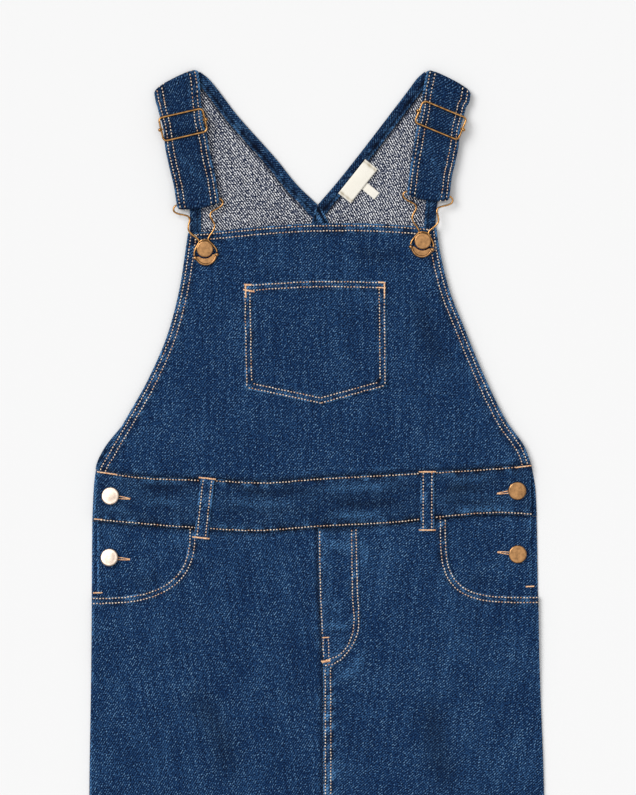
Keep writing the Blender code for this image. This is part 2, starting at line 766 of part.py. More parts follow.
def make_bib_button(side):
    """Tack button on the bib: its shank stands through the hook's ring and its head holds it."""
    x, y = HOOK_MIDDLE[side]
    base = front_z(x, y) + CLOTH + SEAM
    head = BIB_BUTTON_HEAD
    radius = BIB_BUTTON_RADIUS
    profile = ((0, base), (2.4, base), (2.4, head), (radius - 0.7, head), (radius, head + 0.4),
               (radius, head + 0.9), (radius - 0.6, head + 1.4), (radius - 1.4, head + 1.5), (0, head + 1.6))
    lathe(f"bib_button_{side}", x, y, profile, "brass")


def make_side_button(name, x, y):
    """Tack button at a side opening, on the waistband or on the pocket facing."""
    under = WAISTBAND if "upper" in name else -SEAM
    base = front_z(x, y) + under + SEAM
    radius = BUTTON_RADIUS
    profile = ((0, base), (2.6, base), (2.6, base + 0.8), (radius - 0.8, base + 0.8), (radius, base + 1.2),
               (radius, base + 1.8), (radius - 0.6, base + 2.3), (radius - 1.6, base + 2.4), (0, base + 2.6))
    lathe(name, x, y, profile, "brass")


def make_woven_piece(name, where, thickness):
    """A small woven rectangle on the inside of the back."""
    turn = math.radians(where["turn"])
    along = Vector((math.cos(turn), math.sin(turn))) * where["length"] / 2
    across = Vector((-math.sin(turn), math.cos(turn))) * where["width"] / 2
    middle = Vector(where["middle"])
    low = (middle - along - across, middle + along - across)
    high = (middle - along + across, middle + along + across)
    grid = patch(straight(*low), straight(*high), straight(low[0], high[0]), straight(low[1], high[1]), 4, 2)
    panel(name, grid, at_height(where["z"]), thickness, "woven_label")


def clear_scene():
    """Removes what the file opened with."""
    for old in list(bpy.data.objects):
        bpy.data.objects.remove(old)


def base_middle():
    """Middle of the finished garment's outline in plan."""
    graph = bpy.context.evaluated_depsgraph_get()
    corners = []
    for made in bpy.data.objects:
        if made.type == "MESH" and not made.hide_render:
            corners += [vertex.co for vertex in made.evaluated_get(graph).data.vertices]
    xs = [corner.x for corner in corners]
    ys = [corner.y for corner in corners]
    return (min(xs) + max(xs)) / 2, (min(ys) + max(ys)) / 2


def build():
    """Makes every piece, then moves the parent so that the origin is the middle of the base."""
    clear_scene()
    parent = bpy.data.objects.new("dungarees", None)
    bpy.context.scene.collection.objects.link(parent)
    for side in ("left", "right"):
        make_back_bib(side)
        make_neck_band(side)
        make_armhole_band(side)
        make_back_leg(side)
        make_front_leg(side)
        make_pocket_facing(side)
        make_belt_loop(side)
        make_strap(side)
        make_slider(side)
        make_hook_wire(side)
        make_hook_plate(side)
        make_bib_button(side)
    make_centre_back_fell()
    make_waistband("back_waistband", BACK, at_height(0), CLOTH, 26)
    make_waistband("front_waistband", FRONT, front_z, WAISTBAND, 26)
    make_fly()
    make_bib()
    make_bib_pocket()
    for name, (x, y) in SIDE_BUTTONS.items():
        make_side_button(name, x, y)
    make_woven_piece("neck_label", LABEL_PLACE, LABEL)
    make_woven_piece("size_tag", TAG_PLACE, LABEL)
    middle_x, middle_y = base_middle()
    parent.location = (-middle_x, -middle_y, 0)


build()
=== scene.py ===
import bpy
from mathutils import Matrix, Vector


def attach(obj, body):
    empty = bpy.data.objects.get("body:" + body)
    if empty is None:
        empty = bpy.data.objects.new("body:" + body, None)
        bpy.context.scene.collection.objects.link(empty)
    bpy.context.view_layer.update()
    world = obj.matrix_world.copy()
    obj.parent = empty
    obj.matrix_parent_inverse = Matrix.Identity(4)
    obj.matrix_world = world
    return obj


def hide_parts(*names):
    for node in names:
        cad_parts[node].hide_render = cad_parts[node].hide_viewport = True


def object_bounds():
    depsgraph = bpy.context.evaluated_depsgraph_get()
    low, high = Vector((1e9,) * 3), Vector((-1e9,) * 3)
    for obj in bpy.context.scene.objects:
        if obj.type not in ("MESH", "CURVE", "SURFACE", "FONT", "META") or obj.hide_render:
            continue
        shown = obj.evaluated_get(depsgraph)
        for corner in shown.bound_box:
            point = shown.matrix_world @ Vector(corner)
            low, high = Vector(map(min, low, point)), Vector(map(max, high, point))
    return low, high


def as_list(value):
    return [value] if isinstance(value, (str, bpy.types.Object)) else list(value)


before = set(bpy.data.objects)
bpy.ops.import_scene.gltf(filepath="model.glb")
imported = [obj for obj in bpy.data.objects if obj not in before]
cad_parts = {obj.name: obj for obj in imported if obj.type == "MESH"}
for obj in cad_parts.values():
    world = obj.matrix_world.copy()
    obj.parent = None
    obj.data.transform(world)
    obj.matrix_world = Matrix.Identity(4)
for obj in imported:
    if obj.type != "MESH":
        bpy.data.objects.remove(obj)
CAD_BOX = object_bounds()

"""Looks of kids' denim dungarees laid flat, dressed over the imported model.

Tables are in millimetres from the middle of the seam under the waistband: +X is right as seen from
the front, +Y runs to the shoulders and +Z is up. Garment.place turns them into the row frame.
"""
import logging
import math
from dataclasses import dataclass, field
from enum import Enum
from typing import Callable, ClassVar, NamedTuple, Sequence

import bpy
import numpy as np
from mathutils import Matrix, Vector

LOG = logging.getLogger("dungarees")
Array = np.ndarray
Path = Callable[[Array], Array]
Surface = Callable[[Array, Array], Array]
Spot = tuple[float, float]
Thing, Finish = bpy.types.Object, bpy.types.Material
Tree, Node, Socket = bpy.types.NodeTree, bpy.types.Node, bpy.types.NodeSocket
MM = 0.001


# ------------------------------------------------------------------ lines and small functions
def eased(t: Array) -> Array:
    """0 to 1 with level ends."""
    t = np.clip(t, 0.0, 1.0)
    return t * t * (3 - 2 * t)


def even(count: int) -> Array:
    """Evenly spaced places from 0 to 1."""
    return np.linspace(0, 1, count)


def bell(distance: Array, width: float) -> Array:
    """1 at a line, falling away beside it."""
    return np.exp(-((distance / width) ** 2))


class Run:
    """A smooth line through keyed values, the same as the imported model's."""

    def __init__(self, keys: Sequence[float], values: Sequence[float], bulging: bool = False) -> None:
        """Keeps the keys, the values and the slope at each key."""
        self.keys, self.values = np.asarray(keys, float), np.asarray(values, float)
        slope = np.diff(self.values) / np.diff(self.keys)
        before, after = slope[:-1], slope[1:]
        if bulging:
            middle = (before + after) / 2
        else:
            total = np.where(before + after == 0, 1.0, before + after)
            middle = np.where(before * after > 0, 2 * before * after / total, 0.0)
        self.tangent = np.concatenate([slope[:1], middle, slope[-1:]])

    def __call__(self, at: Array) -> Array:
        """Values at some places along the line."""
        i = np.clip(np.searchsorted(self.keys, at, side="right") - 1, 0, len(self.keys) - 2)
        span = self.keys[i + 1] - self.keys[i]
        t = np.clip((at - self.keys[i]) / span, 0.0, 1.0)
        rise = self.values[i + 1] - self.values[i]
        swing = (1 - t) * self.tangent[i] * span - t * self.tangent[i + 1] * span
        return self.values[i] + rise * t * t * (3 - 2 * t) + t * (1 - t) * swing


class Ripple:
    """An uneven wave along a seam, between -1 and 1, the same in each run."""

    def __init__(self, seed: int, pitch: float) -> None:
        """Draws the wave's heights.

        Args:
            seed: Chooses the wave.
            pitch: Distance between its turning points, in mm.
        """
        self.knots, self.pitch = np.random.default_rng(seed).uniform(-1, 1, 1024), pitch

    def __call__(self, at: Array) -> Array:
        """Height at some distances along the seam."""
        t = np.asarray(at) / self.pitch + 300
        i = np.floor(t).astype(int)
        share = eased(t - i)
        return self.knots[i % 1024] * (1 - share) + self.knots[(i + 1) % 1024] * share


class Cloud:
    """Soft uneven ground over a panel, between -1 and 1."""

    def __init__(self, seed: int, across: float, up: float) -> None:
        """Draws a field with the given spacing across and up, in mm."""
        self.knots = np.random.default_rng(seed).uniform(-1, 1, (256, 256))
        self.across, self.up = across, up

    def __call__(self, x: Array, y: Array) -> Array:
        """Height at some places."""
        a, b = x / self.across + 120, y / self.up + 120
        i, j = np.floor(a).astype(int), np.floor(b).astype(int)
        u, v = eased(a - i), eased(b - j)
        k = self.knots
        low = k[j % 256, i % 256] * (1 - u) + k[j % 256, (i + 1) % 256] * u
        high = k[(j + 1) % 256, i % 256] * (1 - u) + k[(j + 1) % 256, (i + 1) % 256] * u
        return low * (1 - v) + high * v


class Track:
    """A line on the cloth that knows the distance to it and the distance along it."""

    REACH = 12.0

    def __init__(self, points: Array) -> None:
        """Spaces the points evenly and keeps the line's direction at each."""
        points = np.asarray(points, float)
        at = np.concatenate([[0.0], np.cumsum(np.linalg.norm(np.diff(points, axis=0), axis=1))])
        self.length = float(at[-1])
        self.at = np.linspace(0, self.length, max(3, int(self.length / 0.9)))
        self.points = np.stack([np.interp(self.at, at, points[:, k]) for k in (0, 1)], axis=1)
        run = np.gradient(self.points, self.at, axis=0)
        self.run = run / np.linalg.norm(run, axis=1, keepdims=True)

    def beside(self, distance: float) -> "Track":
        """The line moved to its left by a distance."""
        return Track(self.points + np.stack([-self.run[:, 1], self.run[:, 0]], axis=1) * distance)

    def part(self, start: float, end: float) -> "Track":
        """The stretch between two distances along the line; a negative end counts back."""
        end = self.length + end if end <= 0 else end
        keep = (self.at >= start) & (self.at <= end)
        return Track(self.points[keep])

    def near(self, x: Array, y: Array) -> tuple[Array, Array]:
        """Distance from the line and along it.

        Args:
            x: Places across.
            y: Places up.

        Returns:
            Signed distance, more than 0 to the left of the line, and distance along the line.
        """
        flat = np.stack([np.ravel(x), np.ravel(y)], axis=1)
        away, along = np.full(len(flat), 99.0), np.zeros(len(flat))
        low, high = self.points.min(0) - self.REACH, self.points.max(0) + self.REACH
        close = np.flatnonzero(((flat > low) & (flat < high)).all(axis=1))
        for some in np.array_split(close, max(1, len(close) * len(self.points) // 2_000_000)):
            if not len(some):
                continue
            gap = flat[some, None] - self.points[None]
            nearest = (gap**2).sum(-1).argmin(1)
            off, run = gap[np.arange(len(some)), nearest], self.run[nearest]
            ahead = (off * run).sum(1)
            side = off[:, 1] * run[:, 0] - off[:, 0] * run[:, 1]
            past = ((nearest == 0) & (ahead < 0)) | ((nearest == len(self.at) - 1) & (ahead > 0))
            side = np.where(past, np.hypot(side, ahead) * np.where(side < 0, -1, 1), side)
            away[some], along[some] = side, self.at[nearest] + ahead
        return away.reshape(np.shape(x)), along.reshape(np.shape(x))


def through(points: Sequence[tuple[float, ...]], bulging: bool = True) -> Path:
    """A smooth path through a few points, from 0 to 1."""
    rows = np.asarray(points, float)
    keys = np.concatenate([[0.0], np.cumsum(np.linalg.norm(np.diff(rows, axis=0), axis=1))])
    runs = [Run(keys, axis, bulging) for axis in rows.T]
    return lambda u: np.stack([run(np.asarray(u) * keys[-1]) for run in runs], axis=-1)


def straight(start: Sequence[float], end: Sequence[float]) -> Path:
    """A straight path, from 0 to 1."""
    a, b = np.asarray(start, float), np.asarray(end, float)
    return lambda u: a + (b - a) * np.asarray(u, float)[..., None]


def swept(start: float, end: float, point: Callable[[Array], tuple[Array, Array]]) -> Path:
    """A path whose x and y come from a value that runs evenly from start to end."""
    return lambda u: np.stack(point(start + (end - start) * np.asarray(u, float)), axis=-1)


def start_of(path: Path) -> Array:
    """The path's first point."""
    return path(np.array(0.0))


def end_of(path: Path) -> Array:
    """The path's last point."""
    return path(np.array(1.0))


def joined(first: Path, second: Path, share: float) -> Path:
    """Two paths end to end.

    Args:
        first: The path that the run starts on.
        second: The path that it ends on.
        share: How much of the run the first has.

    Returns:
        The whole path.
    """

    def path(u: Array) -> Array:
        """Point at a place on the run."""
        u = np.asarray(u, float)
        early, late = np.clip(u / share, 0, 1), np.clip((u - share) / (1 - share), 0, 1)
        return np.where((u <= share)[..., None], first(early), second(late))

    return path


def fitted(path: Path, start: Array, end: Array) -> Path:
    """The path with its ends drawn to two corners.

    Args:
        path: The path.
        start: Where its first point goes.
        end: Where its last point goes.

    Returns:
        The drawn path.
    """
    first, last = start - start_of(path), end - end_of(path)

    def drawn(u: Array) -> Array:
        """Point at a place on the run."""
        u = np.asarray(u, float)
        return path(u) + first * (1 - u)[..., None] ** 8 + last * u[..., None] ** 8

    return drawn


def patch(bottom: Path, top: Path, left: Path, right: Path, us: Array, vs: Array) -> Array:
    """Plan points that fill the space between four paths.

    Args:
        bottom: Path along the foot, left to right.
        top: Path along the head, left to right.
        left: Path up the left.
        right: Path up the right.
        us: Places across, 0 to 1.
        vs: Places up, 0 to 1.

    Returns:
        Rows of columns of (x, y).
    """
    b, t, l, r = bottom(us)[None], top(us)[None], left(vs)[:, None], right(vs)[:, None]
    u, v = us[None, :, None], vs[:, None, None]
    ruled = (1 - v) * b + v * t + (1 - u) * l + u * r
    corners = (1 - v) * ((1 - u) * b[:, :1] + u * b[:, -1:]) + v * ((1 - u) * t[:, :1] + u * t[:, -1:])
    return ruled - corners


NEAR_EDGE = (0.0, 0.15, 0.4, 0.75, 1.2, 1.7, 2.3, 2.9, 3.5, 4.1, 4.8, 5.5, 6.3, 7.2, 8.2)


def spaced(length: float, step: float, low: bool = True, high: bool = True) -> Array:
    """Places from 0 to 1, close together near the ends that have a worked edge."""
    start = [a for a in NEAR_EDGE] if low else [0.0]
    end = [length - a for a in reversed(NEAR_EDGE)] if high else [length]
    inner = np.linspace(start[-1], end[0], max(2, int((end[0] - start[-1]) / step) + 1))[1:-1]
    return np.concatenate([start, inner, end]) / length


# ------------------------------------------------------------------ the garment's lines
class Side(Enum):
    """A side of the garment as seen from the front."""

    LEFT = -1
    RIGHT = 1

    @property
    def word(self) -> str:
        """Its name, as the nodes spell it."""
        return self.name.lower()

    def of(self, left: float, right: float) -> float:
        """The value for this side."""
        return left if self is Side.LEFT else right


class Outline:
    """Both edges of a layer, from rows of (y, left, right)."""

    def __init__(self, *rows: tuple[float, float, float]) -> None:
        """Keeps a line for each edge."""
        rows = sorted(rows)
        keys = [row[0] for row in rows]
        self.left, self.right = Run(keys, [row[1] for row in rows]), Run(keys, [row[2] for row in rows])

    def edge(self, side: Side) -> Run:
        """X of one edge by height."""
        return self.left if side is Side.LEFT else self.right

    def x(self, side: Side, y: float) -> float:
        """X of one edge at one height."""
        return float(self.edge(side)(np.array(y)))

    def path(self, side: Side, low: float, high: float) -> Path:
        """Path up one edge.

        Args:
            side: Which edge.
            low: Its first y.
            high: Its last y.

        Returns:
            The path.
        """
        run = self.edge(side)
        return swept(low, high, lambda y: (run(y), y))


class SeamLine:
    """A line across the garment, from (x, y) points."""

    def __init__(self, *points: Spot) -> None:
        """Keeps y by x."""
        self.y = Run([p[0] for p in points], [p[1] for p in points])

    def at(self, x: float) -> float:
        """Its y at one x."""
        return float(self.y(np.array(x)))

    def path(self, start: float, end: float, lift: float = 0.0) -> Path:
        """Path between two x.

        Args:
            start: The first x.
            end: The last x.
            lift: How far it is moved up.

        Returns:
            The path.
        """
        return swept(start, end, lambda x: (x, self.y(x) + lift))


class Scoop(NamedTuple):
    """A hip pocket's curved edge: part of a superellipse."""

    side_x: float
    top_y: float
    width: float
    depth: float
    power: float

    def path(self, sign: int, start: float, end: float, grow: float = 0.0) -> Path:
        """Path between two angles in degrees; 0 is at the waistband and 90 at the side.

        Args:
            sign: -1 at the left side, 1 at the right.
            start: The first angle.
            end: The last angle.
            grow: How far it is moved out from the pocket.

        Returns:
            The path.
        """

        def point(angle: Array) -> tuple[Array, Array]:
            """Point of the edge at an angle."""
            a = np.radians(angle)
            across = (self.width + grow) * np.maximum(0, np.cos(a)) ** (2 / self.power)
            down = (self.depth + grow) * np.maximum(0, np.sin(a)) ** (2 / self.power)
            return self.side_x - sign * across, self.top_y - down

        return swept(start, end, point)


class Garment:
    """The outlines, seam lines and layer heights that every piece is cut to."""

    CROTCH, HEM, SEAM = -200.0, -640.0, 0.3
    NOTCH, NECK_END, ARMHOLE_END = 226.0, 318.8, 301.0
    CLOTH, BAND, WAISTBAND, STRAP = 1.2, 1.0, 2.0, 1.5
    FRONT_REST, LEG_REST, LOFT, SHOULDER = 3.0, 1.5, 3.0, 70.0
    FRONT = Outline(
        (212, -88.6, 84.0), (201, -90.3, 85.4), (169, -95.2, 92.4), (138, -102.9, 104.3),
        (106, -116.2, 117.6), (75, -133.4, 132.6), (54, -145.6, 146.4), (38, -153.4, 150.4),
        (3, -155.8, 151.2), (-50, -156.8, 155.1), (-100, -157.2, 156.3), (-187, -158.5, 159.3),
        (-400, -159.5, 161.5), (HEM, -158.0, 160.0),
    )
    BACK = Outline(
        (301, -112.2, 106.4), (275, -103.0, 97.5), (245, -93.5, 89.5), (222, -88.4, 84.4),
        (203, -88.4, 83.4), (169, -93.4, 90.6), (138, -101.2, 102.5), (106, -114.2, 115.6),
        (75, -132.8, 131.4), (54, -149.0, 146.4), (42, -154.2, 150.9), (24, -156.0, 154.0),
        (3, -156.8, 154.7), (-50, -157.2, 155.6), (-100, -157.6, 156.8), (-187, -158.9, 159.8),
        (-400, -159.9, 162.0), (HEM, -158.4, 160.5),
    )
    NECK = Outline(
        (318.8, -81.4, 76.0), (314.3, -75.6, 71.0), (307, -69.4, 65.5), (290, -56.5, 52.6),
        (257, -27.3, 27.2), (240, -13.6, 13.6), (226, 0.9, 1.5),
    )
    INSIDE = Outline(
        (2, 0.9, 1.3), (-45, 1.8, 2.2), (-98, 4.5, 4.9), (CROTCH, 4.8, 5.2), (-236, -3.5, 13.5),
        (-330, -9.0, 19.0), (HEM, -20.0, 30.0),
    )
    LOWER = SeamLine(
        (-158, 4.4), (-93, -1.0), (-42, -3.6), (0, -0.7), (56, 2.3), (84, 5.7), (128, 8.9), (156, 7.4),
    )
    UPPER = SeamLine(
        (-158, 40.4), (-115, 35.2), (-69, 33.6), (-37, 32.1), (0, 34.7), (72, 38.6), (123, 41.7),
        (156, 44.6),
    )
    BIB_TOP = SeamLine(
        (-92, 205.6), (-71, 207.0), (-40, 210.0), (1, 212.4), (24, 212.6), (55, 211.6), (88, 209.0),
    )
    SCOOPS = {
        Side.LEFT: Scoop(-156.6, -1.5, 67.4, 47.4, 2.8),
        Side.RIGHT: Scoop(155.6, 3.2, 64.0, 51.4, 4.0),
    }
    OPENING = {Side.LEFT: -153.3, Side.RIGHT: 151.0}
    low = CAD_BOX[0]
    middle_x, middle_y = -159.9 - low.x / MM, HEM - low.y / MM

    @classmethod
    def front(cls, x: Array, y: Array) -> Array:
        """Underside of the front layer."""
        inside = np.minimum(x - cls.FRONT.left(y), cls.FRONT.right(y) - x)
        lift = eased(inside / cls.SHOULDER)
        below = np.clip((-110 - y) / 90, 0, 1)
        near = np.abs(x - np.where(x < 5, cls.INSIDE.left(y), cls.INSIDE.right(y)))
        lift = lift * (1 - below * (1 - eased(near / cls.SHOULDER)))
        lift = lift * (0.35 + 0.65 * np.clip((212 - y) / 60, 0, 1))
        rest = cls.FRONT_REST + (cls.LEG_REST - cls.FRONT_REST) * eased((-70 - y) / 60)
        return rest + cls.LOFT * lift

    @classmethod
    def neck(cls, side: Side) -> Path:
        """Path up one edge of the neck, from the notch."""
        return cls.NECK.path(side, cls.NOTCH, cls.NECK_END)

    @classmethod
    def sides(cls, outline: Outline, bottom: Path, top: Path) -> list[Path]:
        """Paths up both edges of a layer.

        Args:
            outline: The layer's edges.
            bottom: Path along its foot.
            top: Path along its head.

        Returns:
            The left path and the right, each from a corner of the foot to one of the head.
        """
        corners = (Side.LEFT, start_of(bottom), start_of(top)), (Side.RIGHT, end_of(bottom), end_of(top))
        return [fitted(outline.path(side, float(a[1]), float(b[1])), a, b) for side, a, b in corners]

    @classmethod
    def over_front(cls, lift: float) -> Surface:
        """Height function of what lies over the front layer's underside."""
        return lambda x, y: cls.front(x, y) + lift

    @classmethod
    def place(cls, points: Array) -> Array:
        """Garment points in mm as row-frame points in metres."""
        return (np.asarray(points, float) - (cls.middle_x, cls.middle_y, 0)) * MM

    @classmethod
    def matrix(cls, x: float, y: float, turn: float = 0.0) -> Matrix:
        """Puts a piece made in mm about its own middle at a place on the garment."""
        spot = Vector(cls.place((x, y, 0)))
        return Matrix.Translation(spot) @ Matrix.Rotation(math.radians(turn), 4, "Z") @ Matrix.Scale(MM, 4)


def level(z: float) -> Surface:
    """Height function of a layer that lies level."""
    return lambda x, y: np.full(np.shape(x), z)


# ------------------------------------------------------------------ finishes
def linear(code: str) -> tuple[float, float, float, float]:
    """An sRGB hex colour in linear light."""
    parts = [int(code[i : i + 2], 16) / 255 for i in (1, 3, 5)]
    return (*[c / 12.92 if c <= 0.04045 else ((c + 0.055) / 1.055) ** 2.4 for c in parts], 1.0)


def feed(tree: Tree, socket: Socket, value: object) -> None:
    """Links another node's output to a socket, or sets the socket to a value."""
    if isinstance(value, Socket):
        tree.links.new(value, socket)
    else:
        socket.default_value = value


def add(
    tree: Tree, kind: str, output: str | int, settings: dict | None = None, **inputs: object,
) -> Socket:
    """Adds a node.

    Args:
        tree: Where it goes.
        kind: Its type, without the ShaderNode at the front.
        output: Which of its outputs is wanted, by name or number.
        settings: Its own options.
        inputs: Values or other nodes' outputs for its sockets, by name or as i0, i1 by number.

    Returns:
        That output.
    """
    made = tree.nodes.new("ShaderNode" + kind)
    for name, value in (settings or {}).items():
        setattr(made, name, value)
    for name, value in inputs.items():
        feed(tree, made.inputs[int(name[1:]) if name[1:].isdigit() else name.replace("_", " ")], value)
    return made.outputs[output]


def blank(name: str) -> tuple[Finish, Tree, Node]:
    """A new material, its tree and its shader."""
    made = bpy.data.materials.new(name)
    made.use_nodes = True
    return made, made.node_tree, made.node_tree.nodes["Principled BSDF"]


def dress(
    tree: Tree, shader: Node, colour: object, roughness: object,
    height: Socket, strength: float, depth: float,
) -> None:
    """Gives a shader its colour, roughness and relief.

    Args:
        tree: The material's nodes.
        shader: Its shader.
        colour: A colour or another node's output.
        roughness: A number or another node's output.
        height: The output that raises the surface.
        strength: Of the relief, 0 to 1.
        depth: Of the relief, in metres.
    """
    relief = add(tree, "Bump", 0, Strength=strength, Distance=depth, Height=height)
    for name, value in (("Base Color", colour), ("Roughness", roughness), ("Normal", relief)):
        feed(tree, shader.inputs[name], value)


COLOUR = {"data_type": "RGBA"}
TIMES_PLUS, TIMES, LESS = ({"operation": sum_} for sum_ in ("MULTIPLY_ADD", "MULTIPLY", "SUBTRACT"))


@dataclass(frozen=True)
class Twill:
    """Cotton twill, ring-spun and yarn-dyed: indigo warp over undyed weft in slanting ridges.

    The ridges and the flecks of weft between them give the eye a fine slanting grain, and the dye
    wears off the crests of seams.
    """

    name: str
    # Colour that the darkening attribute mixes in: painted shade in grooves and troughs, and darker dye.
    deep: str
    low: str
    dim: str
    middle: str
    high: str
    fleck: str
    worn: str
    ridge_mm: float  # between twill ridges, those of the inside drawn 1.5 mm apart instead of 1.3 mm
    slant: float
    ridges: float
    yarns: float
    specks: float
    relief: float
    REPEAT: ClassVar[float] = 0.3142  # of a band texture at scale 1

    def make(self) -> Finish:
        """The material, read from the Cloth UV map and from two attributes: worn, for dye rubbed pale, and
        the darkening one, which mixes in painted shade and darker dye.
        """
        made, tree, shader = blank(self.name)
        uv = add(tree, "UVMap", 0, {"uv_map": "Cloth"})
        turned = add(tree, "Mapping", 0, Vector=uv, Rotation=(0, 0, -math.radians(self.slant)))
        scale = self.REPEAT / (self.ridge_mm * MM)
        wave = add(
            tree, "TexWave", "Fac", {"bands_direction": "Y"},
            Vector=turned, Scale=scale, Distortion=1.6, Detail=1.0, Detail_Scale=1.5,
        )
        # Single yarns, drawn 1 mm wide instead of 0.4 mm so that they show.
        stretched = add(tree, "Mapping", 0, Vector=turned, Scale=(1 / 0.0022, 1 / 0.00105, 1))
        yarn = add(tree, "TexNoise", "Fac", Vector=stretched, Scale=1.0, Detail=2.0, Roughness=0.7)
        speck = add(tree, "TexNoise", "Fac", Vector=uv, Scale=1050.0, Detail=0.0)
        patchy = add(tree, "TexNoise", "Fac", Vector=uv, Scale=26.0, Detail=3.0, Roughness=0.6)
        streaks = add(tree, "Mapping", 0, Vector=uv, Scale=(420.0, 18.0, 1))
        slub = add(tree, "TexNoise", "Fac", Vector=streaks, Scale=1.0, Detail=2.0, Roughness=0.5)
        shade = add(tree, "Math", 0, TIMES_PLUS, i0=wave, i1=self.ridges, i2=0.5 - self.ridges / 2)
        for grain, weight in ((yarn, self.yarns), (speck, self.specks), (slub, 0.3), (patchy, 0.2)):
            lowered = add(tree, "Math", 0, LESS, i0=shade, i1=weight / 2)
            shade = add(tree, "Math", 0, TIMES_PLUS, i0=grain, i1=weight, i2=lowered)
        ramp = add(tree, "ValToRGB", 0, Fac=shade)
        dyes = ramp.node.color_ramp.elements
        codes = (self.low, self.dim, self.middle, self.high, self.fleck)
        while len(dyes) < len(codes):
            dyes.new(0.5)
        for dye, at, code in zip(dyes, (0.02, 0.32, 0.52, 0.74, 1.0), codes):
            dye.position, dye.color = at, linear(code)
        worn = add(tree, "Attribute", "Fac", {"attribute_name": "worn"})
        crests = add(tree, "Math", 0, TIMES_PLUS, i0=shade, i1=3.4, i2=-1.0)
        rubbed = add(tree, "Clamp", 0, Value=add(tree, "Math", 0, TIMES, i0=worn, i1=crests))
        colour = add(tree, "Mix", 2, COLOUR, i0=rubbed, i6=ramp, i7=linear(self.worn))
        # Darkening toward near-black indigo: painted shade in stitch grooves, pucker and fold troughs, beside
        # sunk seams and hem steps, and darker dye where a panel is toned down.
        dark = add(tree, "Attribute", "Fac", {"attribute_name": "deep"})
        colour = add(tree, "Mix", 2, COLOUR, i0=dark, i6=colour, i7=linear(self.deep))
        shader.inputs["Specular IOR Level"].default_value = 0.12
        dress(tree, shader, colour, 0.92, shade, self.relief, 0.00035)
        return made


@dataclass(frozen=True)
class Thread:
    """Spun polyester sewing thread, twisted: matt, with lighter and darker stitches."""

    name: str
    dark: str
    light: str

    def make(self) -> Finish:
        """The material, read from the tone attribute."""
        made, tree, shader = blank(self.name)
        tone = add(tree, "Attribute", "Fac", {"attribute_name": "tone"})
        place = add(tree, "TexCoord", "Object")
        # The twist, drawn 0.5 mm apart.
        twist = add(tree, "TexWave", "Fac", {"bands_direction": "DIAGONAL"}, Vector=place, Scale=600.0)
        share = add(tree, "Clamp", 0, Value=add(tree, "Math", 0, TIMES_PLUS, i0=twist, i1=0.18, i2=tone))
        colour = add(tree, "Mix", 2, COLOUR, i0=share, i6=linear(self.dark), i7=linear(self.light))
        dress(tree, shader, colour, 0.6, twist, 0.3, 0.0001)
        return made


@dataclass(frozen=True)
class AntiqueBrass:
    """Brass-plated steel, tumbled and lacquered: warm, softly glossy and browner where handled least."""

    name: str
    bright: str
    brown: str
    roughness: float

    def make(self) -> Finish:
        """The material, its tarnish read from Object coordinates."""
        made, tree, shader = blank(self.name)
        place = add(tree, "TexCoord", "Object")
        cloudy = add(tree, "TexNoise", "Fac", Vector=place, Scale=340.0, Detail=3.0, Roughness=0.6)
        spread = add(tree, "MapRange", 0, Value=cloudy, From_Min=0.35, From_Max=0.7)
        colour = add(tree, "Mix", 2, COLOUR, i0=spread, i6=linear(self.bright), i7=linear(self.brown))
        least, most = self.roughness - 0.08, self.roughness + 0.1
        gloss = add(tree, "MapRange", 0, Value=cloudy, To_Min=least, To_Max=most)
        shader.inputs["Metallic"].default_value = 1.0
        grit = add(tree, "TexNoise", "Fac", Vector=place, Scale=2200.0, Detail=2.0)
        dress(tree, shader, colour, gloss, grit, 0.04, 0.00005)
        return made


@dataclass(frozen=True)
class LabelTape:
    """Cream woven label tape: smooth damask with a faint rib, with painted shade where its stitch lines sink.
    """

    name: str
    cream: str
    shadow: str
    dingy: str

    def make(self) -> Finish:
        """The material, read from the Cloth UV map and from the attribute that marks painted shade at its
        stitch lines.
        """
        made, tree, shader = blank(self.name)
        uv = add(tree, "UVMap", 0, {"uv_map": "Cloth"})
        # Ribs of the tape, drawn 0.7 mm apart.
        ribs = add(tree, "TexWave", "Fac", {"bands_direction": "X"}, Vector=uv, Scale=450.0, Distortion=0.6)
        soil = add(tree, "TexNoise", "Fac", Vector=uv, Scale=90.0, Detail=3.0)
        faint = add(tree, "Math", 0, TIMES, i0=soil, i1=0.5)
        share = add(tree, "Math", 0, TIMES_PLUS, i0=ribs, i1=0.35, i2=faint)
        dark = add(tree, "Attribute", "Fac", {"attribute_name": "deep"})
        colour = add(tree, "Mix", 2, COLOUR, i0=share, i6=linear(self.cream), i7=linear(self.shadow))
        # Painted shade where the stitch lines sink.
        colour = add(tree, "Mix", 2, COLOUR, i0=dark, i6=colour, i7=linear(self.dingy))
        dress(tree, shader, colour, 0.8, ribs, 0.3, 0.0001)
        return made


@dataclass(frozen=True)
class StudioPaper:
    """White background paper, matt: an even pale ground."""

    name: str
    white: str

    def make(self) -> Finish:
        """The material, with a faint tooth from Object coordinates."""
        made, tree, shader = blank(self.name)
        shader.inputs["Specular IOR Level"].default_value = 0.0
        place = add(tree, "TexCoord", "Object")
        tooth = add(tree, "TexNoise", "Fac", Vector=place, Scale=900.0)
        dress(tree, shader, linear(self.white), 1.0, tooth, 0.02, 0.0001)
        return made


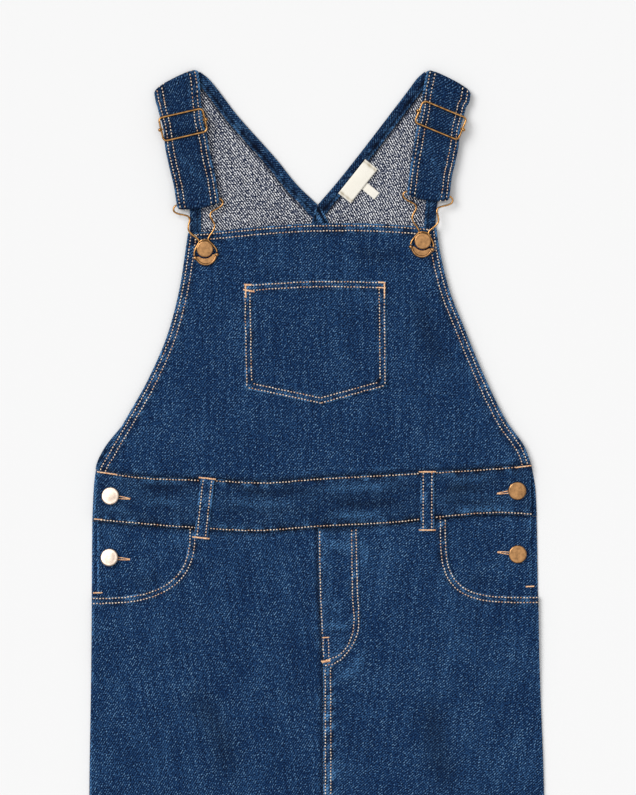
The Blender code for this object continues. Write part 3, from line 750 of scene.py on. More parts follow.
class Wardrobe:
    """Every finish, made once."""

    def __init__(self) -> None:
        """Makes the materials."""
        self.denim = Twill(
            "indigo_denim_face", "#020a1c", "#010920", "#031633", "#0b274c", "#1f436b", "#6f94b2", "#5587b8",
            1.45, 49.0, 0.36, 0.85, 1.05, 0.5,
        ).make()
        self.inside = Twill(
            "indigo_denim_inside", "#0c1424", "#070f22", "#131e36", "#384056", "#7f838f", "#f6f6f6",
            "#b4b9c2", 1.5, 123.0, 0.72, 1.25, 1.75, 0.5,
        ).make()
        self.tan = Thread("tan_topstitch_thread", "#b07a52", "#fff0dc").make()
        self.copper = Thread("copper_bartack_thread", "#c47a48", "#ffd2a2").make()
        self.brass = AntiqueBrass("antique_brass_wire", "#c9985f", "#83592f", 0.2).make()
        self.stud = AntiqueBrass("antique_brass_stud", "#b88a5c", "#876443", 0.3).make()
        # A paler copy of the stud brass for the left studs: a painted highlight where they catch the lamp.
        self.pale = AntiqueBrass("pale_polished_stud", "#b3a396", "#9c8d80", 0.36).make()
        # The label's third colour is painted shade at its stitch lines.
        self.tape = LabelTape("cream_label_tape", "#f4f0e6", "#d9d3c4", "#a89c86").make()
        self.paper = StudioPaper("white_paper", "#e8e8e8").make()


# ------------------------------------------------------------------ cloth
class Mark(NamedTuple):
    """What a detail does to the cloth: lift in mm, dye worn away, and darkening that is painted shade in
    grooves, troughs and beside seams and darker dye elsewhere.
    """

    lift: Array
    worn: Array
    deep: Array


@dataclass
class Sewn:
    """A sewn line: the thread pulls a groove and puckers the cloth beside it, with painted shade in the
    groove and in the puckers' troughs.
    """

    track: Track
    seed: int
    depth: float = 0.22
    pucker: float = 0.2
    reach: float = 3.0
    pitch: float = 2.6
    worn: float = 0.5
    deep: float = 0.55

    def mark(self, x: Array, y: Array) -> Mark:
        """Marks the cloth near the line."""
        away, along = self.track.near(x, y)
        wave = 0.65 * Ripple(
            self.seed, self.pitch,
        )(along + 0.5 * away) + 0.35 * Ripple(self.seed + 7, 7.0)(along)
        beside, on = bell(away, self.reach), bell(away, 0.75)
        lift = self.pucker * wave * beside - self.depth * on
        worn = self.worn * np.clip(1.6 * wave, 0, 1) * beside
        # Painted shade: darker in the groove under the thread and in the troughs of the puckers.
        return Mark(lift, worn, self.deep * (1.1 * on + np.clip(-1.4 * wave, 0, 1) * beside))


@dataclass
class Rolled:
    """A folded edge: the cloth rounds down to it and its crest is rubbed pale."""

    track: Track
    seed: int
    radius: float = 0.9
    worn: float = 0.75
    hem: float = 0.0  # width of the doubled cloth behind the fold
    step: float = 0.25

    def share(self, x: Array, y: Array) -> Array:
        """How much of the cloth's thickness is there."""
        away = np.abs(self.track.near(x, y)[0])
        t = np.clip(away / self.radius, 0, 1)
        return 0.3 + 0.7 * np.sqrt(1 - (1 - t) ** 2)

    def mark(self, x: Array, y: Array) -> Mark:
        """Marks the cloth near the fold."""
        away, along = self.track.near(x, y)
        away = np.abs(away)
        rub = np.clip(
            0.55 + 0.7 * Ripple(self.seed, 3.1)(along) + 0.3 * Ripple(self.seed + 3, 11.0)(along), 0, 1,
        )
        lift = self.step * (1 - eased((away - self.hem) / 1.2)) if self.hem else np.zeros(np.shape(x))
        # Painted shade along the edge of the doubled hem, below its step.
        hem_step_shade = 0.25 * bell(away - self.hem - 0.6, 0.8) if self.hem else 0.0
        return Mark(lift, self.worn * rub * bell(away - 0.55, 0.65), hem_step_shade + np.zeros(np.shape(x)))


@dataclass
class Tucked:
    """An edge sewn under its neighbour: the cloth sinks to it, with painted shade along it."""

    track: Track
    seed: int
    depth: float = 0.45
    reach: float = 2.4
    deep: float = 0.6

    def mark(self, x: Array, y: Array) -> Mark:
        """Marks the cloth near the seam."""
        away, along = self.track.near(x, y)
        wave = Ripple(self.seed, 4.2)(along)
        near = bell(away, self.reach)
        lift = (-self.depth + 0.16 * wave) * near
        # Painted shade along the sunk seam.
        return Mark(lift, 0.3 * np.clip(wave, 0, 1) * bell(np.abs(away) - 3.2, 1.6), self.deep * near)


@dataclass
class Fold:
    """A soft ridge, or a trough where its height is less than 0, along a few points, with painted shade in a
    trough and beside a worn ridge.
    """

    points: tuple[Spot, ...]
    width: float
    height: float
    worn: float = 0.0

    def mark(self, x: Array, y: Array) -> Mark:
        """Marks the cloth near the fold, fading to nothing at its ends."""
        track = Track(through(self.points)(even(40)))
        track.REACH = 3 * self.width
        away, along = track.near(x, y)
        ends = eased(along / (0.35 * track.length)) * eased((track.length - along) / (0.35 * track.length))
        form = bell(away, self.width) * ends
        # Painted shade beside a worn ridge and in a trough.
        beside = 0.35 * self.worn * bell(away + 1.6 * self.width, self.width) * ends
        return Mark(self.height * form, self.worn * form, beside + max(-self.height, 0) * form)


def creases(*rows: tuple[float, ...]) -> list[Fold]:
    """Folds from rows of x and y at the start, middle and end, then width, height and wear."""
    return [Fold(((a, b), (c, d), (e, f)), *rest) for a, b, c, d, e, f, *rest in rows]


@dataclass
class Ground:
    """Uneven ground over the whole panel."""

    cloud: Cloud
    height: float
    worn: float = 0.0
    deep: float = 0.0

    def mark(self, x: Array, y: Array) -> Mark:
        """Marks the whole panel."""
        wave = self.cloud(x, y)
        return Mark(self.height * wave, self.worn * np.clip(wave, 0, 1), self.deep * (0.8 + 0.4 * wave))


def placed(name: str, data: bpy.types.ID) -> Thing:
    """A new object in the scene."""
    made = bpy.data.objects.new(name, data)
    bpy.context.scene.collection.objects.link(made)
    return made


def solid_cloth(
    name: str, outer: Array, inner: Array, uv: Array, marks: Mark, face: Finish,
    back: Finish, turned: Array | None = None,
) -> Thing:
    """A closed sheet from two grids of points in mm.

    Args:
        name: The piece's name.
        outer: Rows of columns of (x, y, z) on the face.
        inner: The same on the back.
        uv: Rows of columns of (u, v) in metres.
        marks: Worn and deep dye at each point.
        face: Finish of the face.
        back: Finish of the back.
        turned: Where the face shows the back's finish.

    Returns:
        The piece, at the origin, riding on the root.
    """
    rows, columns = outer.shape[:2]
    count = rows * columns
    points = Garment.place(np.concatenate([outer.reshape(-1, 3), inner.reshape(-1, 3)]))
    index = np.arange(count).reshape(rows, columns)
    quads = np.stack([index[:-1, :-1], index[:-1, 1:], index[1:, 1:], index[1:, :-1]], axis=-1).reshape(-1, 4)
    loop = np.concatenate([index[0], index[1:, -1], index[-1, -2::-1], index[-2:0:-1, 0]])
    after = np.roll(loop, -1)
    rim = np.stack([loop, loop + count, after + count, after], axis=-1)
    a, b, c = (outer.reshape(-1, 3)[quads[:, k]] for k in (0, 1, 3))
    normal, thick = np.cross(b - a, c - a), (outer - inner).reshape(-1, 3)[quads[:, 0]]
    if (normal * thick).sum() < 0:
        quads, rim = quads[:, ::-1], rim[:, ::-1]
    faces = np.concatenate([quads, quads[:, ::-1] + count, rim])
    mesh = bpy.data.meshes.new(name)
    mesh.from_pydata(points.tolist(), [], faces.tolist())
    kinds = np.zeros(len(faces), np.int32)
    kinds[len(quads) :] = 1
    if turned is not None:
        kinds[: len(quads)] = turned.reshape(-1)[quads[:, 0]].astype(np.int32)
    for finish in (face, back):
        mesh.materials.append(finish)
    mesh.polygons.foreach_set("material_index", kinds)
    corners = np.empty(len(mesh.loops), np.int32)
    mesh.loops.foreach_get("vertex_index", corners)
    flat = uv.reshape(-1, 2)[corners % count]
    mesh.uv_layers.new(name="Cloth").data.foreach_set("uv", flat.astype(np.float32).ravel())
    for label, values in (("worn", marks.worn), ("deep", marks.deep)):
        both = np.tile(np.clip(values, 0, 1).ravel(), 2).astype(np.float32)
        mesh.attributes.new(label, "FLOAT", "POINT").data.foreach_set("value", both)
    mesh.shade_smooth()
    mesh.set_sharp_from_angle(angle=math.radians(60))
    made = placed(name, mesh)
    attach(made, "root")
    LOG.info("%s: %d faces", name, len(faces))
    return made


@dataclass
class Panel:
    """A cut piece of cloth lying on what is under it."""

    node: str
    plan: Array
    under: Surface
    thick: float
    cut: Spot  # mm, turnings included
    lies_on: tuple[str, ...]
    details: list = field(default_factory=list)
    folds: list = field(default_factory=list)
    grain: float = 0.0
    held: str = "laid"
    slot: str = "denim"
    floor: float = 0.0  # the lowest that its folds may bring its underside, over its rest

    def marks(self, x: Array, y: Array, parts: list) -> Mark:
        """The sum of what some details do."""
        total = Mark(np.zeros(np.shape(x)), np.zeros(np.shape(x)), np.zeros(np.shape(x)))
        for part in parts:
            total = Mark(*(a + b for a, b in zip(total, part.mark(x, y))))
        return total

    def base(self, x: Array, y: Array) -> Array:
        """Underside, with its folds."""
        return self.under(x, y) + np.maximum(self.marks(x, y, self.folds).lift, -self.floor)

    def top(self, x: Array, y: Array) -> Array:
        """Upper side."""
        thick = np.full(np.shape(x), self.thick)
        for part in self.details:
            if isinstance(part, Rolled):
                thick = thick * part.share(x, y)
        lift = self.marks(x, y, self.details).lift
        return self.base(x, y) + np.maximum(thick + lift, 0.25)

    def build(
        self, face: Finish, back: Finish, turned: Array | None = None,
    ) -> Thing:
        """Args:
            face: Finish of the upper side.
            back: Finish of the underside.
            turned: Where the upper side shows the back's finish.

        Returns:
            The piece.
        """
        x, y = self.plan[..., 0], self.plan[..., 1]
        low, high = self.base(x, y), self.top(x, y)
        marks = self.marks(x, y, self.details + self.folds)
        c, s = math.cos(math.radians(self.grain)), math.sin(math.radians(self.grain))
        uv = np.stack([x * c + y * s, -x * s + y * c], axis=-1) * MM
        made = solid_cloth(
            self.node + "_cloth", np.dstack([x, y, high]), np.dstack([x, y, low]), uv, marks, face, back,
            turned,
        )
        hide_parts(self.node)
        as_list(self.lies_on)
        return made


class Needlework:
    """The stitches of one panel, each a short rounded thread with its ends in the cloth."""

    SIDES = 6
    STATIONS = ((-0.5, 0.55, -0.3), (-0.28, 1.0, 0.0), (0.28, 1.0, 0.0), (0.5, 0.55, -0.3))

    def __init__(self, name: str, seed: int) -> None:
        """Starts with no stitch."""
        self.name, self.chance = name, np.random.default_rng(seed)
        self.stitches: list[Array] = []

    def lay(self, middles: Array, runs: Array, ups: Array, length: float, width: float) -> None:
        """Lays one stitch at each middle.

        Args:
            middles: (x, y, z) in mm.
            runs: The way each stitch runs.
            ups: The way out of the cloth.
            length: Of a stitch.
            width: Of the thread.
        """
        if not len(middles):
            return
        runs = runs / np.linalg.norm(runs, axis=1, keepdims=True)
        across = np.cross(ups, runs)
        across = across / np.linalg.norm(across, axis=1, keepdims=True)
        ups = np.cross(runs, across)
        n = len(middles)
        lean = self.chance.normal(0, 0.09, n)[:, None]
        runs = runs + across * lean
        sizes = length * self.chance.uniform(0.86, 1.08, n)[:, None]
        middles = middles + across * self.chance.normal(0, 0.09, n)[:, None]
        rings = []
        for along, share, rise in self.STATIONS:
            for k in range(self.SIDES):
                a = math.tau * k / self.SIDES
                out = across * math.cos(a) * width / 2 * share + ups * (
                    math.sin(a) * width * 0.42 * share + rise
                )
                rings.append(middles + runs * sizes * along + out)
        self.stitches.append(np.stack(rings, axis=1))

    def row(
        self, track: Track, surface: Surface, pitch: float = 2.2, width: float = 0.8, share: float = 0.57,
    ) -> None:
        """Sews along a line on a surface.

        Args:
            track: The line.
            surface: Height of the cloth's face.
            pitch: From stitch to stitch.
            width: Of the thread.
            share: Of the pitch that the thread covers.
        """
        at = np.arange(pitch / 2, track.length, pitch)
        at = at + self.chance.normal(0, 0.05, len(at))
        points = np.stack([np.interp(at, track.at, track.points[:, k]) for k in (0, 1)], axis=1)
        runs = np.stack([np.interp(at, track.at, track.run[:, k]) for k in (0, 1)], axis=1)
        ahead, behind = points + runs, points - runs
        z = surface(points[:, 0], points[:, 1])
        slope = (surface(ahead[:, 0], ahead[:, 1]) - surface(behind[:, 0], behind[:, 1])) / 2
        middles = np.column_stack([points, z + width * 0.22])
        runs = np.column_stack([runs, np.clip(slope, -0.3, 0.3)])
        self.lay(middles, runs, np.tile((0.0, 0.0, 1.0), (len(at), 1)), pitch * share, width)

    def rows(self, tracks: Sequence[Track], surface: Surface) -> None:
        """Sews along each of some lines."""
        for track in tracks:
            self.row(track, surface)

    def bars(self, ends: Sequence[tuple[float, ...]], surface: Surface) -> None:
        """Sews bars from rows of x and y at one end, x and y at the other and width."""
        for x, y, far_x, far_y, wide in ends:
            self.bar((x, y), (far_x, far_y), wide, surface)

    def bar(
        self, start: Spot, end: Spot, wide: float, surface: Surface,
    ) -> None:
        """Sews a close bar of satin stitches from one point to another.

        Args:
            start: (x, y) where it begins.
            end: (x, y) where it ends.
            wide: Length of its stitches.
            surface: Height of the cloth's face.
        """
        a, b = np.array(start), np.array(end)
        count = max(3, int(np.linalg.norm(b - a) / 0.42))
        t = even(count)[:, None]
        points = a + (b - a) * t
        run = (b - a) / np.linalg.norm(b - a)
        slant = np.where(np.arange(count)[:, None] % 2, 0.35, -0.35)
        ways = np.array([-run[1], run[0]]) + run * slant
        z = surface(points[:, 0], points[:, 1]) + 0.25
        ups = np.tile((0.0, 0.0, 1.0), (count, 1))
        self.lay(np.column_stack([points, z]), np.column_stack([ways, np.zeros(count)]), ups, wide, 0.6)

    def build(self, thread: Finish, mean: float = 0.5) -> Thing:
        """Makes the stitches one piece.

        Args:
            thread: Its finish.
            mean: How light the thread is on average, 0 to 1.

        Returns:
            The piece.
        """
        points = np.concatenate(self.stitches)
        n, each = points.shape[:2]
        s = self.SIDES
        faces = [
            (r * s + k, r * s + (k + 1) % s, (r + 1) * s + (k + 1) % s, (r + 1) * s + k)
            for r in range(3) for k in range(s)
        ]
        faces = np.array(faces)
        start = (np.arange(n) * each)[:, None, None]
        quads = (faces[None] + start).reshape(-1, 4)
        ends = np.array([range(s - 1, -1, -1), range(each - s, each)])
        caps = (ends[None] + start).reshape(-1, s)
        mesh = bpy.data.meshes.new(self.name)
        mesh.from_pydata(Garment.place(points.reshape(-1, 3)).tolist(), [], quads.tolist() + caps.tolist())
        tone = np.repeat(np.clip(self.chance.normal(mean, 0.24, n), 0, 1), each).astype(np.float32)
        mesh.attributes.new("tone", "FLOAT", "POINT").data.foreach_set("value", tone)
        mesh.shade_smooth()
        mesh.materials.append(thread)
        made = placed(self.name, mesh)
        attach(made, "root")
        LOG.info("%s: %d stitches", self.name, n)
        return made


def line(path: Path, count: int = 200) -> Track:
    """A path as a track."""
    return Track(path(even(count)))


# ------------------------------------------------------------------ sub-assemblies
@dataclass
class Back:
    """The back of the garment, its inside showing at the neck, with its turned edges."""

    wardrobe: Wardrobe
    band: float = 8.0
    fell: float = 9.0
    turning: float = 14.0  # of the side openings, face out

    def build(self) -> None:
        """Makes the back's pieces."""
        for side in Side:
            self.half_bib(side)
            self.neck_edge(side)
            self.armhole_edge(side)
            self.leg(side)
        self.centre_fell()
        self.waistband()

    def half_bib(self, side: Side) -> None:
        """Half of the back bib.

        Args:
            side: Which side.
        """
        g, w = Garment, self.wardrobe
        centre = g.NECK.x(side, g.NOTCH)
        bottom = g.UPPER.path(side.of(-154.6, 150.2), centre, g.SEAM)
        outside = g.BACK.path(side, float(start_of(bottom)[1]), g.ARMHOLE_END)
        foot = end_of(bottom)
        inside = joined(straight(foot, (centre, g.NOTCH)), g.neck(side), 0.6)
        top = straight(end_of(outside), end_of(inside))
        plan = patch(bottom, top, outside, inside, even(56), even(100))
        ground = [Ground(Cloud(21 + side.value, 34, 26), 0.09), Ground(Cloud(31 + side.value, 9, 7), 0.04)]
        neck = line(g.neck(side)).beside(-side.value * (self.band + 0.7))
        # A painted shadow on the bib along the inner edge of the turned neck band; it does not sink the
        # cloth.
        ground.append(Tucked(neck, 36 + side.value, 0.0, 1.0, 0.9))
        panel = Panel(
            f"back_bib_{side.word}", plan, level(0.0), g.CLOTH, (165, 290), ("the floor",), ground,
            slot="denim_inside", grain=side.of(4, -4),
        )
        panel.build(w.inside, w.denim)

    def edge_band(
        self, node: str, outer: Track, seed: int, inward: int, cut: float, grain: float, lift: float = 0.0,
    ) -> Panel:
        """A turned edge that lies inside the back.

        Args:
            node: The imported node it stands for.
            outer: The garment's edge.
            seed: Chooses its puckers.
            inward: 1 if the cloth lies left of the edge's run, -1 if right.
            cut: Length of the strip, in mm.
            grain: Turn of the cloth's grain, in degrees.
            lift: Extra height.

        Returns:
            The band.
        """
        g = Garment
        half = [0, 0.2, 0.5, 1, 1.7, 2.4, 3.1, 3.6]
        offsets = np.array([*half, 4.1, 4.6, 5.3, 6.0, 6.6, 7.1, 7.5, 7.8, 8.0]) * inward
        rows = np.linspace(0, outer.length, int(outer.length / 1.1))
        points = np.stack([np.interp(rows, outer.at, outer.points[:, k]) for k in (0, 1)], axis=1)
        run = np.stack([np.interp(rows, outer.at, outer.run[:, k]) for k in (0, 1)], axis=1)
        out = np.stack([-run[:, 1], run[:, 0]], axis=1)
        plan = points[:, None] + out[:, None] * offsets[None, :, None]
        inner = outer.beside(self.band * inward)
        details = [
            Rolled(outer, seed, 0.9, 0.45), Rolled(inner, seed + 1, 0.7, 0.5),
            Sewn(outer.beside(5.4 * inward), seed + 2, 0.25, 0.2, 2.4, 2.6, 0.6, 0.5),
            Ground(Cloud(seed + 5, 6, 6), 0.08, 0.0, 0.4),
        ]
        return Panel(
            node, plan, level(g.CLOTH + g.SEAM + lift), g.BAND, (cut, 16),
            (node.replace("band", "") or node,), details, held="folded", grain=grain,
        )

    def neck_edge(self, side: Side) -> None:
        """Turned neck edge, its end laid down in the tuck at the notch."""
        g = Garment
        outer = line(g.neck(side))
        band = self.edge_band(
            f"neck_band_{side.word}", outer, 40 + side.value, -side.value, 125, side.of(-44, 40),
        )
        band.lies_on = (f"back_bib_{side.word}_cloth",)
        shape = band.plan
        # The mitre: each strip turns down to the bib's top at the notch.
        for j in range(len(shape)):
            share = float(np.clip(1 - (shape[j, 0, 1] - g.NOTCH) / 7.0, 0, 1))
            target = shape[j, 0] + even(shape.shape[1])[:, None] * (side.value * 0.2, -13.0)
            shape[j] = shape[j] * (1 - share) + target * share
        band.build(self.wardrobe.denim, self.wardrobe.denim)

    def armhole_edge(self, side: Side) -> None:
        """Turned armhole edge."""
        g = Garment
        low = g.UPPER.at(side.value * 154.0) + 2 * g.SEAM
        outer = line(g.BACK.path(side, low, g.ARMHOLE_END), 300)
        band = self.edge_band(
            f"armhole_band_{side.word}", outer, 50 + side.value, side.value, 268, side.of(8, -8),
        )
        band.lies_on = (f"back_bib_{side.word}_cloth",)
        band.build(self.wardrobe.denim, self.wardrobe.denim)

    def centre_fell(self) -> None:
        """Fell of the centre-back seam."""
        g = Garment
        low = g.UPPER.at(0.0) + g.SEAM
        left = through(((-3.3, low), (-3.3, 196.0), (-3.0, 212.0), (-2.2, 218.0), (0.4, 224.8)), False)
        right = through(((5.7, low), (5.7, 196.0), (9.2, 211.0), (6.6, 218.0), (2.2, 224.6)), False)
        rows = np.concatenate([np.linspace(0, 0.9, 90)[:-1], np.linspace(0.9, 1, 26)])
        bottom = straight(start_of(left), start_of(right))
        top = straight(end_of(left), end_of(right))
        plan = patch(bottom, top, left, right, even(17), rows)
        edges = [line(left, 300), line(right, 300)]
        stitched = [edges[0].beside(-2.0), edges[1].beside(2.0)]
        details = [Rolled(edges[0], 61, 0.7, 0.1), Rolled(edges[1], 62, 0.7, 0.1)]
        details += [Sewn(t, 63 + i, 0.2, 0.2, 2.0, 2.4, 0.35, 0.6) for i, t in enumerate(stitched)]
        details += creases(
            (-2.2, 226.0, 0.4, 219.5, 4.6, 211.0, 1.3, 0.45, 1.5),
            (2.6, 226.0, 5.4, 219.5, 8.8, 211.5, 1.0, 0.35, 1.3),
            (0.8, 224.0, 3.2, 217.6, 6.8, 211.4, 0.7, -0.4),
        )

        def under(x: Array, y: Array) -> Array:
            """On the bib, then over the turned neck edges at the notch."""
            return g.CLOTH + g.SEAM + 1.2 * eased((y - 213.2) / 2.5)

        fell = Panel(
            "centre_back_fell", plan, under, g.BAND, (28, 190), ("back_bib_left_cloth",), details,
            held="folded",
        )
        fell.build(self.wardrobe.denim, self.wardrobe.denim)

    def waistband(self) -> None:
        """Back waistband, its ends showing past the front's."""
        g = Garment
        bottom, top = g.LOWER.path(-156.8, 154.7), g.UPPER.path(-154.2, 150.9)
        left, right = g.sides(g.BACK, bottom, top)
        plan = patch(bottom, top, left, right, spaced(311, 2.5), even(24))
        details = [Rolled(line(left), 71, 0.9, 0.6), Rolled(line(right), 72, 0.9, 0.6)]
        panel = Panel(
            "back_waistband", plan, level(0.0), g.CLOTH, (330, 80), ("the floor",), details, held="folded",
        )
        panel.build(self.wardrobe.denim, self.wardrobe.denim)

    def leg(self, side: Side) -> None:
        """Back leg.

        Args:
            side: Which side.
        """
        g, w = Garment, self.wardrobe
        centre = g.INSIDE.path(side, g.HEM, g.LOWER.at(0.0) - g.SEAM)
        top = g.LOWER.path(side.of(-156.8, 154.7), float(end_of(centre)[0]), -g.SEAM)
        outer = g.BACK.path(side, g.HEM, float(start_of(top)[1]))
        bottom = straight(start_of(outer), start_of(centre))
        plan = patch(bottom, top, outer, centre, spaced(157, 3.2), even(170))
        hem = line(bottom)
        details = [
            Rolled(line(outer, 600), 81 + side.value, 0.8, 0.55), Rolled(hem, 83, 0.8, 0.5),
            Ground(Cloud(90 + side.value, 30, 60), 0.08),
        ]
        panel = Panel(
            f"back_leg_{side.word}", plan, level(0.0), g.CLOTH, (182, 690), ("the floor",), details,
            grain=side.of(9, -8),
        )
        x = plan[..., 0]
        depth = np.abs(x - x[:, :1])
        panel.build(w.inside, w.denim, depth < self.turning)


@dataclass
class Legs:
    """Front legs with their scooped pockets, the facings behind these and the mock fly."""

    wardrobe: Wardrobe
    underlap: float = 8.0
    rows: Spot = (1.2, 4.6)  # of the scoops' twin stitching, from the edge
    hem_row: float = 22.0
    fly_inner: tuple = (
        (24.9, -1.5), (25.6, -48), (26.5, -67), (25.2, -75.5), (21.4, -84), (15.3, -90), (7, -93),
    )
    fly_outer: tuple = (
        (27.9, -1.0), (29, -44), (29.8, -62), (29, -74), (25.2, -83), (19.2, -90.7), (13, -95.3),
        (6.2, -96.8),
    )
    fly_edge: tuple = ((2.4, -2.5), (3.3, -45), (4.7, -76))
    tacks: dict = field(default_factory=lambda: {
        Side.LEFT: (-155.6, -46.2, -150.0, -46.0, 1.1), Side.RIGHT: (147.2, -41.8, 152.6, -41.5, 1.1),
    })
    panels: dict = field(default_factory=dict)

    def build(self) -> None:
        """Makes the legs' pieces and their stitches."""
        tan, copper = Needlework("topstitching_legs", 5), Needlework("bartacks_legs", 6)
        for side in Side:
            self.facing(side)
            self.leg(side, tan)
        self.fly(tan, copper)
        for side, tack in self.tacks.items():
            copper.bars([tack], self.panels[f"facing_{side.word}"].top)
        tan.build(self.wardrobe.tan)
        copper.build(self.wardrobe.copper, 0.6)

    def folds(self, side: Side) -> list[Fold]:
        """Soft folds of a leg, uneven, also where the legs run on below.

        Args:
            side: Which side.

        Returns:
            The folds.
        """
        if side is Side.LEFT:
            return creases(
                (-150, -70, -110, -84, -70, -80, 9, 0.5), (-60, -20, -30, -34, -8, -30, 7, 0.4),
                (-128, -150, -122, -110, -118, -86, 8, 0.45), (-40, -80, -34, -130, -36, -176, 9, 0.4),
                (-95, -105, -70, -140, -60, -190, 10, -0.4), (-140, -240, -100, -290, -84, -350, 13, 0.6),
                (-40, -260, -52, -330, -48, -400, 14, -0.4), (-150, -420, -90, -440, -30, -430, 11, 0.55),
                (-120, -500, -80, -540, -40, -600, 13, 0.5),
            )
        return creases(
            (40, -30, 62, -48, 90, -78, 8, 0.45), (60, -60, 100, -74, 146, -66, 9, 0.45),
            (44, -100, 52, -140, 48, -186, 9, 0.45), (120, -84, 124, -130, 132, -180, 9, 0.4),
            (80, -110, 84, -150, 96, -196, 10, -0.4), (30, -250, 70, -300, 90, -370, 13, 0.6),
            (130, -260, 120, -330, 126, -390, 13, -0.45), (40, -410, 90, -436, 150, -420, 12, 0.5),
            (60, -500, 90, -550, 130, -600, 13, 0.55), (26, -6, 33, -15, 34, -30, 3.6, 0.3, 0.25),
            (12, -106, 24, -101, 34, -84, 3.4, 0.3, 0.28),
        )

    def leg(self, side: Side, tan: Needlework) -> None:
        """Front leg with its scoop.

        Args:
            side: Which side.
            tan: Needlework in the tan thread.
        """
        g, sign, w = Garment, side.value, self.wardrobe
        scoop = g.SCOOPS[side]
        centre = g.INSIDE.path(side, g.HEM, g.LOWER.at(0.0) - g.SEAM)
        rim = scoop.path(sign, 90, 0)
        waist = g.LOWER.path(float(end_of(rim)[0]), float(end_of(centre)[0]), -g.SEAM)
        rim = fitted(rim, start_of(rim), start_of(waist))
        top = joined(rim, waist, 0.55)
        corner = np.array([g.FRONT.x(side, g.HEM), g.HEM])
        start = start_of(top)
        outer = fitted(g.FRONT.path(side, g.HEM, float(start[1])), corner, start)
        lower = np.linspace(0, 0.66, 96)[:-1]
        upper = 0.66 + 0.34 * spaced(205, 1.75, low=False)
        bottom = straight(corner, start_of(centre))
        plan = patch(bottom, top, outer, centre, spaced(158, 1.75), np.concatenate([lower, upper]))
        rim_track, waist_track = line(rim, 300), line(waist)
        outer_track, centre_track = line(outer, 600), line(centre, 600)
        seam = centre_track.part(centre_track.length - 200, 0)
        details = [
            Rolled(rim_track, 101 + sign, 0.9, 0.8, hem=5.8, step=0.3),
            Tucked(waist_track, 111 + sign, 0.35, 2.6, 0.4),
            Rolled(outer_track, 121 + sign, 1.0, 0.55),
            Rolled(line(bottom), 125 + sign, 0.9, 0.6, hem=20.0, step=0.5),
            Ground(Cloud(130 + sign, 22, 34), 0.18, 0.05), Ground(Cloud(140 + sign, 8, 10), 0.06, 0.06),
        ]
        # The scoop's edge runs from the side to the waistband, so the leg is on the same hand as its side.
        stitched = [rim_track.beside(sign * offset) for offset in self.rows]
        details += [
            Sewn(t, 150 + 10 * i + sign, 0.22, 0.17, 2.6, 2.8, 0.45, 0.45) for i, t in enumerate(stitched)
        ]
        if side is Side.RIGHT:
            details.append(Rolled(seam, 171, 0.9, 0.9, hem=6.0, step=0.35))
            twin = [seam.beside(-offset).part(1.0, -96.5) for offset in (1.5, 5.3)]
            details += [Sewn(t, 180 + 5 * i, 0.22, 0.2, 2.6, 2.8, 1.1, 0.5) for i, t in enumerate(twin)]
        else:
            details.append(Tucked(seam, 173, 0.3, 2.2, 0.55))
            twin = []
        start_x, end_x = sorted((float(corner[0]) - 2 * sign, side.of(-21, 31)))
        hem_y = g.HEM + self.hem_row
        hem_line = line(straight((start_x, hem_y), (end_x, hem_y)), 80)
        details.append(Sewn(hem_line, 190 + sign, 0.25, 0.25, 4.0, 4.0, 0.4, 0.4))
        panel = Panel(
            f"front_leg_{side.word}", plan, g.front, g.CLOTH, (178, 690),
            (f"back_leg_{side.word}_cloth", f"pocket_facing_{side.word}_cloth"), details, self.folds(side),
            grain=side.of(9, -8), floor=0.25,
        )
        self.panels[f"leg_{side.word}"] = panel
        panel.build(w.denim, w.inside)
        tan.rows((*stitched, *twin, hem_line), panel.top)

    def facing(self, side: Side) -> None:
        """Facing seen inside the scoop of a hip pocket.

        Args:
            side: Which side.
        """
        g, sign, w = Garment, side.value, self.wardrobe
        scoop = g.SCOOPS[side]._replace(side_x=g.OPENING[side])
        inner, foot = scoop.path(sign, 45, 2, self.underlap), scoop.path(sign, 90, 45, self.underlap)
        top = g.LOWER.path(g.OPENING[side], float(end_of(inner)[0]), -g.SEAM)
        left = straight(start_of(foot), start_of(top))
        right = fitted(inner, start_of(inner), end_of(top))
        plan = patch(foot, top, left, right, spaced(72, 1.5, high=False), spaced(56, 1.5, low=False))
        details = [
            Rolled(line(left), 201 + sign, 0.9, 0.8), Tucked(line(top), 205 + sign, 0.35, 2.4, 0.45),
            Ground(Cloud(210 + sign, 12, 9), 0.12, 0.1),
        ]
        side_x = g.OPENING[side]
        folds = [
            Fold(((side_x - sign * 8, -14), (side_x - sign * 30, -18), (side_x - sign * 52, -14)), 5, 0.25),
            Fold(((side_x - sign * 20, -34), (side_x - sign * 34, -38), (side_x - sign * 50, -32)), 5, -0.2),
        ]
        panel = Panel(
            f"pocket_facing_{side.word}", plan, g.over_front(-g.CLOTH - g.SEAM), g.CLOTH, (82, 62),
            (f"back_leg_{side.word}_cloth",), details, folds, grain=side.of(9, -8), floor=0.1,
        )
        self.panels[f"facing_{side.word}"] = panel
        panel.build(w.denim, w.inside)

